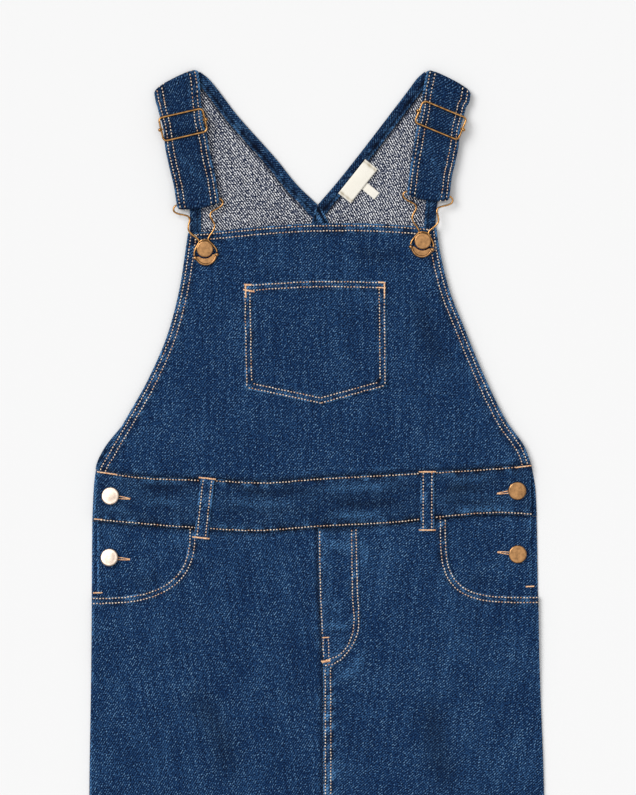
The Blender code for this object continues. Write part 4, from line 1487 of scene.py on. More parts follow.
    def fly(self, tan: Needlework, copper: Needlework) -> None:
        """Mock fly on the right front.

        Args:
            tan: Needlework in the tan thread.
            copper: Needlework in the copper thread.
        """
        g, w = Garment, self.wardrobe
        top_y = g.LOWER.at(0.0) - 2 * g.SEAM
        foot = through(((5.3, -99.0), (14.0, -96.6), (22.8, -89.0)))
        start = np.array([g.INSIDE.x(Side.RIGHT, top_y) + g.SEAM, top_y])
        end = np.array([29.6, top_y])
        side = through(((22.8, -89.0), (29.8, -76.0), (31.2, -62.0), (30.6, -44.0), (29.6, 0.2)))
        side = fitted(side, start_of(side), end)
        origin = start_of(foot)
        bowed = g.INSIDE.path(Side.RIGHT, -99.0, top_y)
        left = fitted(lambda u: bowed(u) + np.array([g.SEAM, 0]), origin, start)
        plan = patch(foot, straight(start, end), left, side, spaced(28.5, 1.4), spaced(98, 1.4))
        edge, outer = line(left), Track(np.concatenate([foot(even(40))[:-1], side(even(120))]))
        rows = [
            Track(through(r)(even(160)))
            for r in (self.fly_inner, self.fly_outer, self.fly_edge)
        ]
        details = [
            Rolled(edge, 221, 0.9, 0.8), Rolled(outer, 223, 0.5, 0.25),
            Tucked(line(straight(start, end)), 225, 0.3, 2.6, 0.55), Ground(Cloud(226, 8, 14), 0.12, 0.12),
        ]
        details += [Sewn(t, 230 + 3 * i, 0.2, 0.14, 2.4, 2.6, 0.4, 0.4) for i, t in enumerate(rows)]
        leg = self.panels["leg_right"]
        details += creases(
            (4, -70, 14, -69, 25, -71, 2.2, 0.15, 0.35), (5, -13, 14, -12, 25, -16, 3.0, 0.15, 0.3),
        )
        panel = Panel(
            "fly", plan, lambda x, y: leg.top(x, y) + 0.12, 0.75, (31, 104), ("front_leg_right_cloth",),
            details, grain=-8,
        )
        panel.build(w.denim, w.denim)
        box = [Track(np.array([(x, -78), (x + 0.4, -92)])) for x in (5.0, 8.6)]
        tan.rows((*rows, *box), panel.top)
        copper.bars(((4.6, -77.3, 9.0, -77.0, 1.0), (4.2, -94.2, 9.6, -93.2, 2.2)), panel.top)


@dataclass
class Waist:
    """Front waistband with its loops, buttonholes and side buttons."""

    wardrobe: Wardrobe
    legs: Legs
    loop_width: float = 10.0
    loops: tuple = (("left", (-75.6, 35.0), (-80.4, -8.6)), ("right", (77.9, 39.6), (77.9, -3.2)))
    tacks: tuple = (
        (-153.0, 38.6, -139.5, 36.8, 1.0), (140.0, 41.6, 150.0, 43.0, 1.0), (-155.0, 5.6, -149.6, 5.2, 0.9),
    )
    button_radius: float = 6.3
    buttons: tuple = (
        ("side_button_upper_left", (-143.6, 21.6), (-130.3, 19.8)),
        ("side_button_lower_left", (-144.4, -21.5), (-130.3, -22.8)),
        ("side_button_upper_right", (140.7, 25.4), (127.0, 23.4)),
        ("side_button_lower_right", (141.1, -19.0), (127.2, -17.6)),
    )

    def build(self) -> None:
        """Makes the waist's pieces."""
        g, w = Garment, self.wardrobe
        tan, copper = Needlework("topstitching_waist", 11), Needlework("bartacks_waist", 12)
        bottom, top = g.LOWER.path(-155.8, 151.2), g.UPPER.path(-153.4, 150.4)
        left, right = g.sides(g.FRONT, bottom, top)
        plan = patch(bottom, top, left, right, spaced(307, 1.5), spaced(36, 1.3))
        lower, upper = line(bottom, 400), line(top, 400)
        rows = [lower.beside(1.3), upper.beside(-1.3)]
        details = [
            Rolled(lower, 301, 0.9, 0.6), Rolled(upper, 303, 0.9, 0.5), Rolled(line(left), 305, 1.0, 0.7),
            Rolled(line(right), 307, 1.0, 0.7), Ground(Cloud(310, 7, 3.5), 0.26, 0.12, 0.26),
            Ground(Cloud(311, 26, 9), 0.25, 0.1),
        ]
        details += [Sewn(t, 320 + 9 * i, 0.25, 0.3, 3.0, 3.2, 0.6, 0.8) for i, t in enumerate(rows)]
        folds = creases(
            (-128, 29, -104, 27.5, -84, 29, 2.4, -0.34), (-70, 20, -40, 16, -6, 18, 2.8, 0.4, 0.2),
            (-62, 27, -30, 24, 4, 27, 2.4, -0.34), (-4, 26, 30, 27.5, 62, 29, 3.0, 0.45, 0.3),
            (2, 18, 34, 16, 70, 19, 2.6, -0.34), (6, 9, 30, 8, 50, 10, 2.6, 0.3, 0.45),
            (88, 33, 112, 34, 130, 36, 2.2, 0.35, 0.25), (84, 25, 106, 27, 126, 24, 2.6, -0.35),
            (-124, 14, -108, 18, -92, 14, 2.0, 0.3, 0.25), (92, 13, 112, 12, 136, 14, 2.2, 0.3, 0.3),
            (86, 18.5, 110, 17, 128, 18, 1.8, -0.3), (-150, 10, -140, 13, -128, 8, 2.2, 0.3, 0.25),
        )
        band = Panel(
            "front_waistband", plan, g.front, g.WAISTBAND, (322, 80), ("back_waistband_cloth",), details,
            folds, held="folded", floor=0.35,
        )
        band.build(w.denim, w.denim)
        tan.rows(rows, band.top)
        copper.bars(self.tacks, band.top)
        for word, head, foot in self.loops:
            self.loop(word, head, foot, tan, copper)
        head = turned_piece(
            (
                (2.6, 0.0), (2.6, 0.8), (5.4, 0.85), (6.0, 1.05), (6.3, 1.45), (6.25, 1.85), (5.95, 2.15),
                (5.5, 2.28), (5.0, 2.25), (3.4, 2.42), (1.6, 2.5), (0.5, 2.52),
            ),
            48,
        )
        for name, (x, y), end in self.buttons:
            surface = band.top if "upper" in name else self.legs.panels[f"facing_{name.split('_')[-1]}"].top
            self.buttonhole((x, y), end, surface, copper)
            base = float(surface(np.array([x]), np.array([y]))[0]) + 0.15
            about_y, about_x = (-9.0, -8.0) if "left" in name else (2.0, 3.0)
            tilt = Matrix.Rotation(math.radians(about_y), 4, "Y")
            tilt = tilt @ Matrix.Rotation(math.radians(about_x), 4, "X")
            spot = Garment.matrix(x, y) @ Matrix.Translation((0, 0, base)) @ tilt
            # The left studs wear the paler copy of the brass, a painted highlight added to their tilt toward
            # the lamp.
            settle(head.copy(), f"{name}_stud", name, w.pale if "left" in name else w.stud, spot)
        bpy.data.objects.remove(head)
        tan.build(w.tan)
        copper.build(w.copper, 0.6)

    def buttonhole(
        self, button: Spot, end: Spot, surface: Surface, copper: Needlework,
    ) -> None:
        """The half of a buttonhole that shows beside its button: two close rows and a bar at its end."""
        a, b = np.array(button), np.array(end)
        run = (b - a) / np.linalg.norm(b - a)
        side = np.array([-run[1], run[0]])
        start = a + run * (self.button_radius - 0.6)
        for off in (0.85, -0.85):
            copper.bar(tuple(start + side * off), tuple(b - run * 1.6 + side * off * 0.5), 0.7, surface)
        copper.bar(tuple(b - run * 1.8), tuple(b), 1.5, surface)

    def loop(
        self, word: str, head: Spot, foot: Spot, tan: Needlework,
        copper: Needlework,
    ) -> None:
        """A belt loop over the waistband.

        Args:
            word: Left or right.
            head: Its upper end.
            foot: Its lower end.
            tan: Needlework in the tan thread.
            copper: Needlework in the copper thread.
        """
        g, w = Garment, self.wardrobe
        top, bottom = np.array(head), np.array(foot)
        run = (top - bottom) / np.linalg.norm(top - bottom)
        across = np.array([run[1], -run[0]]) * self.loop_width / 2
        corners = [bottom - across, bottom + across, top - across, top + across]
        left, right = straight(corners[0], corners[2]), straight(corners[1], corners[3])
        ends = straight(corners[0], corners[1]), straight(corners[2], corners[3])
        plan = patch(*ends, left, right, even(25), spaced(44, 1.1))
        sides = [line(left), line(right)]
        rows = [sides[0].beside(-2.0), sides[1].beside(2.0)]
        details = [Rolled(t, 401 + i, 0.9, 0.85) for i, t in enumerate(sides)]
        details += [Rolled(line(e), 405 + i, 0.6, 0.2) for i, e in enumerate(ends)]
        details += [
            Sewn(t, 410 + 3 * i + len(word), 0.2, 0.2, 2.2, 2.6, 0.55, 0.5) for i, t in enumerate(rows)
        ]
        drop = g.LOWER.at(foot[0])

        def under(x: Array, y: Array) -> Array:
            """Over the waistband, then down to the leg."""
            return g.front(x, y) + 2.5 - 0.75 * eased((drop - 1.0 - y) / 4.0)

        panel = Panel(
            f"belt_loop_{word}", plan, under, 1.35, (26, 52), ("front_waistband_cloth",), details,
            held="folded",
        )
        panel.build(w.denim, w.denim)
        tan.rows(rows, panel.top)
        for spot, off in ((top, -0.9), (bottom, 1.2)):
            middle = spot + run * off
            copper.bar(tuple(middle - across * 1.15), tuple(middle + across * 1.1), 1.2, panel.top)


@dataclass
class Bib:
    """The front bib with its hemmed edges and patch pocket."""

    wardrobe: Wardrobe
    side_rows: Spot = (2.4, 6.0)
    top_rows: Spot = (1.7, 5.2)
    pocket_top: tuple = ((-51.1, 170.1), (0.0, 172.9), (49.0, 172.2))
    pocket_foot: tuple = ((-49.7, 96.6), (3.5, 85.4), (49.7, 98.0))
    pocket_tacks: tuple = (
        (-50.0, 169.6, -45.4, 169.4, 1.4), (-50.6, 166.0, -43.2, 164.6, 1.2),
        (-49.2, 169.4, -49.0, 160.6, 1.0), (43.6, 171.2, 48.2, 171.0, 1.2), (47.9, 171.0, 47.9, 160.6, 1.0),
        (43.0, 167.6, 48.4, 167.2, 1.0),
    )
    panel: Panel | None = None

    def build(self) -> None:
        """Makes the bib's pieces and their stitches."""
        g, w = Garment, self.wardrobe
        tan, copper = Needlework("topstitching_bib", 21), Needlework("bartacks_bib", 22)
        bottom = g.UPPER.path(-153.4, 150.4, g.SEAM)
        top = g.BIB_TOP.path(g.FRONT.x(Side.LEFT, 205.6), g.FRONT.x(Side.RIGHT, 209.0))
        sides = g.sides(g.FRONT, bottom, top)
        plan = patch(bottom, top, *sides, spaced(230, 2.0), spaced(170, 1.7))
        left, right, head, foot = line(sides[0], 300), line(sides[1], 300), line(top, 300), line(bottom, 400)
        rows = [left.beside(-o) for o in self.side_rows] + [right.beside(o) for o in self.side_rows]
        rows += [head.beside(-o).part(3.0, -3.0) for o in self.top_rows]
        details = [
            Rolled(left, 501, 0.9, 0.8, 7.4, 0.35), Rolled(right, 503, 0.9, 0.8, 7.4, 0.35),
            Rolled(head, 505, 0.9, 0.95, 6.8, 0.4), Tucked(foot, 507, 0.4, 2.4, 0.5),
            Ground(Cloud(510, 24, 18), 0.16, 0.03), Ground(Cloud(512, 8, 8), 0.05, 0.05),
        ]
        details += [
            Sewn(t, 520 + 7 * i, 0.22, 0.24 if i > 3 else 0.18, 2.6, 2.6, 0.4, 0.6 if i > 3 else 0.4)
            for i, t in enumerate(rows)
        ]
        folds = creases(
            (-120, 60, -90, 66, -60, 58, 6, 0.35), (-40, 56, -6, 62, 30, 58, 6, 0.35),
            (50, 58, 84, 66, 118, 62, 6, 0.4), (-96, 150, -80, 120, -84, 90, 7, 0.3),
            (70, 170, 80, 130, 96, 104, 7, -0.3), (-60, 196, -40, 188, -6, 194, 6, 0.3),
            (20, 198, 44, 190, 66, 196, 5, -0.3), (-130, 84, -112, 76, -96, 80, 6, 0.3),
        )
        self.panel = Panel(
            "bib", plan, g.front, g.CLOTH, (322, 188), ("back_bib_left_cloth", "back_bib_right_cloth"),
            details, folds, floor=0.3,
        )
        self.panel.build(w.denim, w.inside)
        tan.rows(rows, self.panel.top)
        self.pocket(tan, copper)
        tan.build(w.tan)
        copper.build(w.copper, 0.65)

    def pocket(self, tan: Needlework, copper: Needlework) -> None:
        """Patch pocket with its pointed foot, twin stitching and bartacks.

        Args:
            tan: Needlework in the tan thread.
            copper: Needlework in the copper thread.
        """
        w, panel = self.wardrobe, self.panel
        a, point, b = self.pocket_foot
        top = through(self.pocket_top)
        foot = joined(straight(a, point), straight(point, b), 0.5)
        left, right = straight(a, self.pocket_top[0]), straight(b, self.pocket_top[2])
        us = spaced(100, 1.9)
        us = np.sort(np.append(us, [0.5]))
        plan = patch(foot, top, left, right, us[np.append(True, np.diff(us) > 0.001)], spaced(78, 1.9))
        edges = [line(left), line(right), line(top)]
        low = [Track(np.array([a, point])), Track(np.array([point, b]))]
        outer, inner = 1.4, 4.8
        rows = [
            edges[0].beside(-outer).part(1.6, -1.0), edges[0].beside(-inner).part(5.4, -4.0),
            edges[1].beside(outer).part(1.6, -1.0), edges[1].beside(inner).part(5.4, -4.0),
            edges[2].beside(-1.3).part(1.0, -1.0), edges[2].beside(-inner).part(1.0, -1.0),
            low[0].beside(outer).part(1.2, 0), low[1].beside(outer).part(0, -1.2),
            low[0].beside(inner).part(4.6, -0.6), low[1].beside(inner).part(0.6, -4.6),
        ]
        details = [
            Rolled(t, 601 + 2 * i, 0.9, 0.75 + 0.4 * (i > 1), 5.6, 0.3)
            for i, t in enumerate(edges[:2] + low)
        ]
        details.append(Rolled(edges[2], 611, 0.9, 0.5, 6.2, 0.3))
        details += [Ground(Cloud(620, 20, 20), 0.12, 0.05)]
        details += [Sewn(t, 630 + 5 * i, 0.2, 0.15, 2.4, 2.6, 0.4, 0.4) for i, t in enumerate(rows)]
        patch_panel = Panel(
            "bib_pocket", plan, lambda x, y: panel.top(x, y) + 0.15, 1.0, (120, 104), ("bib_cloth",),
            details, grain=1,
        )
        patch_panel.build(w.denim, w.inside)
        tan.rows(rows, patch_panel.top)
        copper.bars(self.pocket_tacks, patch_panel.top)


# ------------------------------------------------------------------ metal
def clear_selection() -> None:
    """Deselects every object."""
    bpy.ops.object.select_all(action="DESELECT")


def take(made: Thing) -> None:
    """Selects one object alone and makes it active."""
    clear_selection()
    made.select_set(True)
    bpy.context.view_layer.objects.active = made


def edit_all() -> None:
    """Goes to edit mode with all of the active mesh selected."""
    bpy.ops.object.mode_set(mode="EDIT")
    bpy.ops.mesh.select_all(action="SELECT")


def turned_piece(profile: Sequence[Spot], sides: int) -> Thing:
    """A round piece raised from a disc, ring by ring.

    Args:
        profile: (radius, height) from the edge of its base to near the middle of its top.
        sides: Of the disc.

    Returns:
        The piece, in mm about its own axis.
    """
    clear_selection()
    radius, height = profile[0]
    bpy.ops.mesh.primitive_circle_add(vertices=sides, radius=radius, fill_type="NGON", location=(0, 0, 0))
    made = bpy.context.object
    edit_all()
    bpy.ops.transform.translate(value=(0, 0, height))
    for wide, high in profile[1:]:
        bpy.ops.mesh.extrude_region_move(TRANSFORM_OT_translate={"value": (0, 0, high - height)})
        share = wide / radius
        bpy.ops.transform.resize(value=(share, share, 1), center_override=(0, 0, high))
        radius, height = wide, high
    bpy.ops.mesh.select_all(action="SELECT")
    bpy.ops.mesh.normals_make_consistent(inside=False)
    bpy.ops.object.mode_set(mode="OBJECT")
    return made


def settle(
    made: Thing, name: str, node: str, finish: Finish, spot: Matrix,
) -> Thing:
    """Puts a piece made in mm in its place on the garment.

    Args:
        made: The piece, or a copy of one.
        name: Its name.
        node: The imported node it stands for.
        finish: Its finish.
        spot: Where it goes.

    Returns:
        The piece, at the origin, riding on the root.
    """
    made.data = made.data.copy()
    made.name = made.data.name = name
    if not made.users_collection:
        bpy.context.scene.collection.objects.link(made)
    made.data.transform(spot @ made.matrix_basis)
    made.matrix_basis = Matrix()
    made.data.materials.clear()
    made.data.materials.append(finish)
    take(made)
    bpy.ops.object.shade_smooth_by_angle(angle=math.radians(38))
    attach(made, "root")
    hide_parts(node)
    LOG.info("%s: %d faces", name, len(made.data.polygons))
    return made


def bent_wire(points: Array, radius: float, closed: bool = False) -> Thing:
    """Round wire along points in mm, as a mesh.

    Args:
        points: Places along it, in mm.
        radius: Of the wire, in mm.
        closed: Whether its ends meet.

    Returns:
        The wire.
    """
    curve = bpy.data.curves.new("wire", "CURVE")
    curve.dimensions, curve.bevel_depth, curve.bevel_resolution = "3D", radius, 3
    curve.use_fill_caps = not closed
    spline = curve.splines.new("POLY")
    spline.points.add(len(points) - 1)
    for point, at in zip(spline.points, points):
        point.co = (*at, 1)
    spline.use_cyclic_u = closed
    take(placed("wire", curve))
    bpy.ops.object.convert(target="MESH")
    made = bpy.context.object
    edit_all()
    bpy.ops.mesh.remove_doubles(threshold=0.001)
    bpy.ops.mesh.normals_make_consistent(inside=False)
    bpy.ops.object.mode_set(mode="OBJECT")
    return made


def bead(x: float, y: float, z: float, radius: float, flat: float = 1.0) -> Thing:
    """A small ball, flattened across Z."""
    clear_selection()
    bpy.ops.mesh.primitive_uv_sphere_add(segments=20, ring_count=12, radius=radius, location=(x, y, z))
    made = bpy.context.object
    edit_all()
    bpy.ops.transform.resize(value=(1, 1, flat), center_override=(x, y, z))
    bpy.ops.object.mode_set(mode="OBJECT")
    return made


def joined_up(pieces: list[Thing]) -> Thing:
    """Several meshes as one object, the first."""
    clear_selection()
    for piece in pieces:
        piece.data.transform(piece.matrix_basis)
        piece.matrix_basis = Matrix()
        piece.select_set(True)
    bpy.context.view_layer.objects.active = pieces[0]
    bpy.ops.object.join()
    return pieces[0]


def cut_with(made: Thing, cutter: Thing, how: str) -> None:
    """Cuts or joins a piece with another, which is used up."""
    change = made.modifiers.new("Cut", "BOOLEAN")
    change.operation, change.solver, change.object = how, "EXACT", cutter
    bpy.context.view_layer.objects.active = made
    bpy.ops.object.modifier_apply(modifier=change.name)
    bpy.data.objects.remove(cutter)


class Station(NamedTuple):
    """A cross line of a strap: the line it is measured from, offset, height and width."""

    line: str
    offset: float
    z: float
    width: float = 1.0


@dataclass
class Braces:
    """Shoulder straps with their sliders, hooks and bib buttons."""

    wardrobe: Wardrobe
    lines: dict = field(
        default_factory=lambda: {
            Side.LEFT: {
                "hook": (-82.2, 224.7, 14.9, 9.0), "slider": (-93.0, 281.4, 15.4, 12.9),
                "fold": (-98.3, 313.7, 17.2, 26.4),
            },
            Side.RIGHT: {
                "hook": (78.3, 230.4, 14.9, -7.0), "slider": (87.2, 284.5, 16.2, -22.5),
                "fold": (93.2, 313.2, 17.4, -26.8),
            },
        },
    )
    back_run: tuple = (
        ("slider", -1.5, 4.6, 0.84), ("slider", -9.0, 3.6, 0.9),
        ("hook", 28.0, 3.6, 0.97), ("hook", 8.0, 3.6),
    )
    front_run: tuple = (
        ("hook", 9.0, 6.5), ("hook", 16.0, 5.6), ("slider", -24.0, 5.55, 0.97),
        ("slider", -14.0, 5.4, 0.99), ("slider", -8.6, 5.5, 0.97),
        ("slider", -3.2, 8.7, 0.925), ("slider", 0.0, 9.45, 0.915),
        ("slider", 3.2, 8.7, 0.925), ("slider", 8.6, 5.4, 0.97),
        ("slider", 15.0, 4.9, 1.0), ("fold", -8.0, 4.6),
    )
    clear_of_slider: float = 1.0  # farther off, cross lines follow the strap's own slant
    stitch_rows: Spot = (2.1, 5.4)
    hook_middle: dict = field(
        default_factory=lambda: {Side.LEFT: (-77.7, 194.6, 9.0), Side.RIGHT: (74.6, 200.2, -7.0)},
    )
    hook_half: tuple = (
        (7.9, -3.4, 1.0), (7.8, -1.6, 1.0), (6.4, 1.1, 1.0), (4.6, 3.6, 1.0), (3.2, 5.8, 1.0),
        (4.2, 8.0, 1.1), (7.4, 11.4, 1.2), (9.2, 14.6, 1.2), (8.6, 18.4, 1.0), (7.3, 21.8, 0.7),
        (8.0, 24.2, 0.5), (11.0, 25.8, 0.3), (14.6, 27.2, 0.1), (17.2, 29.2, 0.0), (17.3, 31.4, 0.0),
        (15.4, 33.1, 0.0), (12.6, 33.25, 0.0), (6.0, 33.25, 0.0),
    )
    bail_z: float = 5.4
    hook_wire: float = 0.65
    loop_radius: float = 1.7
    fold_radius: float = 1.9
    slider_width: dict = field(default_factory=lambda: {Side.LEFT: 31.3, Side.RIGHT: 32.7})

    def build(self) -> None:
        """Makes both braces."""
        tan = Needlework("topstitching_straps", 31)
        for side in Side:
            self.strap(side, tan)
            self.slider(side)
            self.hook(side)
            self.plate(side)
        tan.build(self.wardrobe.tan)
        head = turned_piece(
            (
                (2.4, 0.0), (2.4, 2.1), (5.1, 2.12), (5.6, 2.3), (5.8, 2.7), (5.75, 3.1), (5.45, 3.4),
                (5.0, 3.55), (4.6, 3.52), (3.2, 3.62), (1.6, 3.68), (0.5, 3.7),
            ),
            48,
        )
        for side in Side:
            x, y, _ = self.hook_middle[side]
            spot = Garment.matrix(x, y) @ Matrix.Translation((0, 0, 5.25)) @ Matrix.Rotation(
                math.radians(3.0), 4, "X",
            )
            settle(
                head.copy(), f"bib_button_{side.word}_stud", f"bib_button_{side.word}", self.wardrobe.stud,
                spot,
            )
        bpy.data.objects.remove(head)

    def stations(self, side: Side) -> list[Station]:
        """Every cross line of a strap, from its end under the slider's bar to its seam at the shoulder.

        Args:
            side: Which side.

        Returns:
            The stations, in order along the strap.
        """

        def arc(
            name: str, offset: float, z: float, radius: float, start: float, end: float, pinch: float = 0.0,
        ) -> list[Station]:
            """Cross lines round a bend, narrower at its outermost by a share."""
            angles = np.radians(np.linspace(start, end, 9))
            return [
                Station(
                    name, offset + radius * math.cos(a), z + radius * math.sin(a),
                    1 - pinch * math.cos(a) ** 2,
                )
                for a in angles
            ]

        loop = arc("hook", Garment.STRAP / 2 + self.loop_radius, self.bail_z, self.loop_radius, 270, 90, 0.04)
        fold = arc(
            "fold", -Garment.STRAP / 2 - self.fold_radius, Garment.STRAP / 2 + self.fold_radius,
            self.fold_radius, 90, -90, 0.17,
        )
        back, front = ([Station(*row) for row in run] for run in (self.back_run, self.front_run))
        return [*back, *loop, *front, *fold, Station("fold", -4.0, Garment.STRAP / 2)]

    def strap(self, side: Side, tan: Needlework) -> None:
        """A strap as one folded strip.

        Args:
            side: Which side.
            tan: Needlework in the tan thread.
        """
        ends = []
        for s in self.stations(side):
            x, y, half, turn = self.lines[side][s.line]
            c, d = math.cos(math.radians(turn)), math.sin(math.radians(turn))
            along = np.array([-d, c])
            if s.line != "hook" and abs(s.offset) > self.clear_of_slider:
                along = np.subtract(self.lines[side]["fold"][:2], self.lines[side]["hook"][:2])
                along = along / np.linalg.norm(along)
            middle = np.array([*(np.array([x, y]) + along * s.offset), s.z])
            ends.append((middle, np.array([c, d, 0.0]) * half * s.width))
        middles = np.array([m for m, _ in ends])
        keys = np.concatenate([[0.0], np.cumsum(np.linalg.norm(np.diff(middles, axis=0), axis=1))])
        centre = [Run(keys, middles[:, k]) for k in range(3)]
        reach = [Run(keys, np.array([a for _, a in ends])[:, k]) for k in range(3)]
        at = np.arange(0, keys[-1], 0.85)
        loop_at, fold_at = float(keys[8]), float(keys[-6])
        slant = ends[-11][0] - ends[8][0]
        slant = slant * (1, 1, 0) / np.linalg.norm(slant[:2])

        def lay(s: Array, inset: Array, lift: Array) -> tuple[Array, Array, Array, Array]:
            """Points of the strap's face, by distance along, distance in from an edge, and lift."""
            c = np.stack([run(s) for run in centre], axis=-1)
            a = np.stack([run(s) for run in reach], axis=-1)
            ahead = np.stack([run(s + 0.15) - run(s - 0.15) for run in centre], axis=-1)
            half = np.linalg.norm(a, axis=-1, keepdims=True)
            across = a / half
            normal = np.cross(across, ahead)
            normal = normal / np.linalg.norm(normal, axis=-1, keepdims=True)
            bulge = (1 - inset**2) * (1.3 * bell(s - fold_at, 5.0) - 2.0 * bell(s - loop_at, 4.0))
            bowed = slant * bulge[..., None]
            return c + bowed + across * (
                half * inset[..., None]
            ) + normal * lift[..., None], normal, ahead, half[..., 0]

        width = float(np.linalg.norm(ends[10][1]))
        offsets = np.array([*NEAR_EDGE[:13], 8.5, 11.0])
        columns = np.concatenate([-1 + offsets / width, [0], (1 - offsets / width)[::-1]])
        s, a = np.meshgrid(at, columns, indexing="ij")
        edge = (1 - np.abs(a)) * width
        hand = np.where(a < 0, 0.0, 400.0) + 1000 * (side is Side.RIGHT)
        rise, worn, deep = np.zeros(s.shape), np.zeros(s.shape), np.zeros(s.shape)
        for i, row in enumerate(self.stitch_rows):
            wave = 0.7 * Ripple(701 + i, 2.5)(s + hand) + 0.3 * Ripple(705 + i, 8.0)(s + hand)
            near, on = bell(edge - row, 2.0), bell(edge - row, 0.7)
            rise += 0.13 * wave * near - 0.16 * on
            worn += 0.35 * np.clip(1.5 * wave, 0, 1) * near
            # Painted shade in the stitch grooves and in the puckers' troughs.
            deep += 0.35 * np.clip(-1.4 * wave, 0, 1) * near + 0.55 * on
        rise += 0.16 * (1 - eased((edge - 6.4) / 1.0))
        rub = np.where(a * side.value < 0, 1.6, 0.7)  # the edge beside the neck is the palest
        worn += rub * np.clip(
            0.6 + 0.6 * Ripple(711, 3.0)(s + hand), 0, 1,
        ) * bell(edge - 0.6, 0.7 + 0.2 * rub)
        x_mm = a * width
        front = s - loop_at
        crease = bell((x_mm + 0.55 * (front - 26)) / 1.3, 1.6) * bell(front - 27, 13) * bell(x_mm, 9)
        rise += 0.45 * crease + 0.12 * Cloud(720 + side.value, 7, 9)(x_mm, s)
        worn += 0.3 * crease
        deep += 0.24
        roll = 0.3 + 0.7 * np.sqrt(1 - (1 - np.clip(edge / 0.8, 0, 1)) ** 2)
        half_thick = Garment.STRAP / 2 * roll
        outer, _, _, half = lay(s, a, half_thick + rise)
        inner = lay(s, a, -half_thick)[0]
        uv = np.stack([x_mm, s], axis=-1) * MM
        marks = Mark(rise, worn, deep)
        made = solid_cloth(
            f"strap_{side.word}_cloth", outer, inner, uv, marks, self.wardrobe.denim, self.wardrobe.denim,
        )
        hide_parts(f"strap_{side.word}")
        along = np.arange(1.5, keys[-1] - 5, 2.2)
        for row in self.stitch_rows:
            for hand_ in (-1, 1):
                inset = np.full(along.shape, hand_ * (1 - row / width))
                points, normal, ahead, _ = lay(along, inset, np.full(along.shape, Garment.STRAP / 2 + 0.16))
                tan.lay(points, ahead, normal, 1.35, 0.72)

    def slider(self, side: Side) -> None:
        """Wire slider: rounded frame, centre bar and its ball ends.

        Args:
            side: Which side.
        """
        x, y, _, turn = self.lines[side]["slider"]
        half, corner, tall, z = self.slider_width[side] / 2, 2.6, 16.5 / 2, 7.6
        frame_points = []
        for quarter in range(4):
            sx, sy = (1, -1, -1, 1)[quarter], (1, 1, -1, -1)[quarter]
            for k in range(9):
                a = math.radians(90 * quarter + 11.25 * k)
                frame_points.append(
                    (
                        sx * (half - corner) + corner * math.cos(a),
                        sy * (tall - corner) + corner * math.sin(a), z,
                    ),
                )
        reach = half + 0.9
        pieces = [
            bent_wire(np.array(frame_points), 0.75, True),
            bent_wire(np.array([(-reach, 0, z), (0, 0, z), (reach, 0, z)]), 0.6),
        ]
        pieces += [bead(end, 0, z, 1.35, 0.95) for end in (-reach, reach)]
        made = joined_up(pieces)
        settle(
            made, f"slider_{side.word}_wire", f"slider_{side.word}", self.wardrobe.brass,
            Garment.matrix(x, y, turn),
        )

    def hook(self, side: Side) -> None:
        """Bent wire of a hook, with the small bridge that holds its neck.

        Args:
            side: Which side.
        """
        x, y, turn = self.hook_middle[side]
        half = [(a, b, self.bail_z + c) for a, b, c in self.hook_half]
        other = [(-a, b, c) for a, b, c in reversed(half)]
        wire = bent_wire(through(half + other)(even(150)), self.hook_wire)
        arch = through([(-2.9, 5.5, 6.5), (-1.2, 6.1, 6.9), (1.2, 6.1, 6.9), (2.9, 5.5, 6.5)])
        bridge = bent_wire(arch(even(14)), 0.6)
        made = joined_up([wire, bridge])
        settle(
            made, f"hook_wire_{side.word}_bent", f"hook_wire_{side.word}", self.wardrobe.brass,
            Garment.matrix(x, y, turn),
        )

    def plate(self, side: Side) -> None:
        """Lower crescent of a hook: a pressed plate with a raised rim and a knob at each end.

        Args:
            side: Which side.
        """
        x, y, turn = self.hook_middle[side]
        clear_selection()
        bpy.ops.mesh.primitive_cylinder_add(vertices=96, radius=7.5, depth=1.3, location=(0, -4.0, 5.75))
        made = bpy.context.object
        bpy.ops.object.transform_apply(location=True)
        bpy.ops.mesh.primitive_cylinder_add(vertices=96, radius=6.7, depth=6, location=(0, 0, 6))
        cut_with(made, bpy.context.object, "DIFFERENCE")
        take(made)
        edit_all()
        bpy.ops.mesh.bisect(plane_co=(0, -4.6, 0), plane_no=(0, 1, 0), clear_outer=True, use_fill=True)
        bpy.ops.object.mode_set(mode="OBJECT")
        soften = made.modifiers.new("Bevel", "BEVEL")
        soften.width, soften.segments = 0.35, 3
        bpy.ops.object.modifier_apply(modifier=soften.name)
        rim = through(
            [
                (7.0 * math.cos(a), -4.0 + 7.0 * math.sin(a), 6.45)
                for a in np.radians(np.linspace(198, 342, 25))
            ],
        )
        pieces = [made, bent_wire(rim(even(60)), 0.85)]
        pieces += [bead(end, -5.2, 6.2, 1.45, 0.8) for end in (-7.6, 7.6)]
        made = joined_up(pieces)
        settle(
            made, f"hook_plate_{side.word}_pressed", f"hook_plate_{side.word}", self.wardrobe.stud,
            Garment.matrix(x, y, turn),
        )


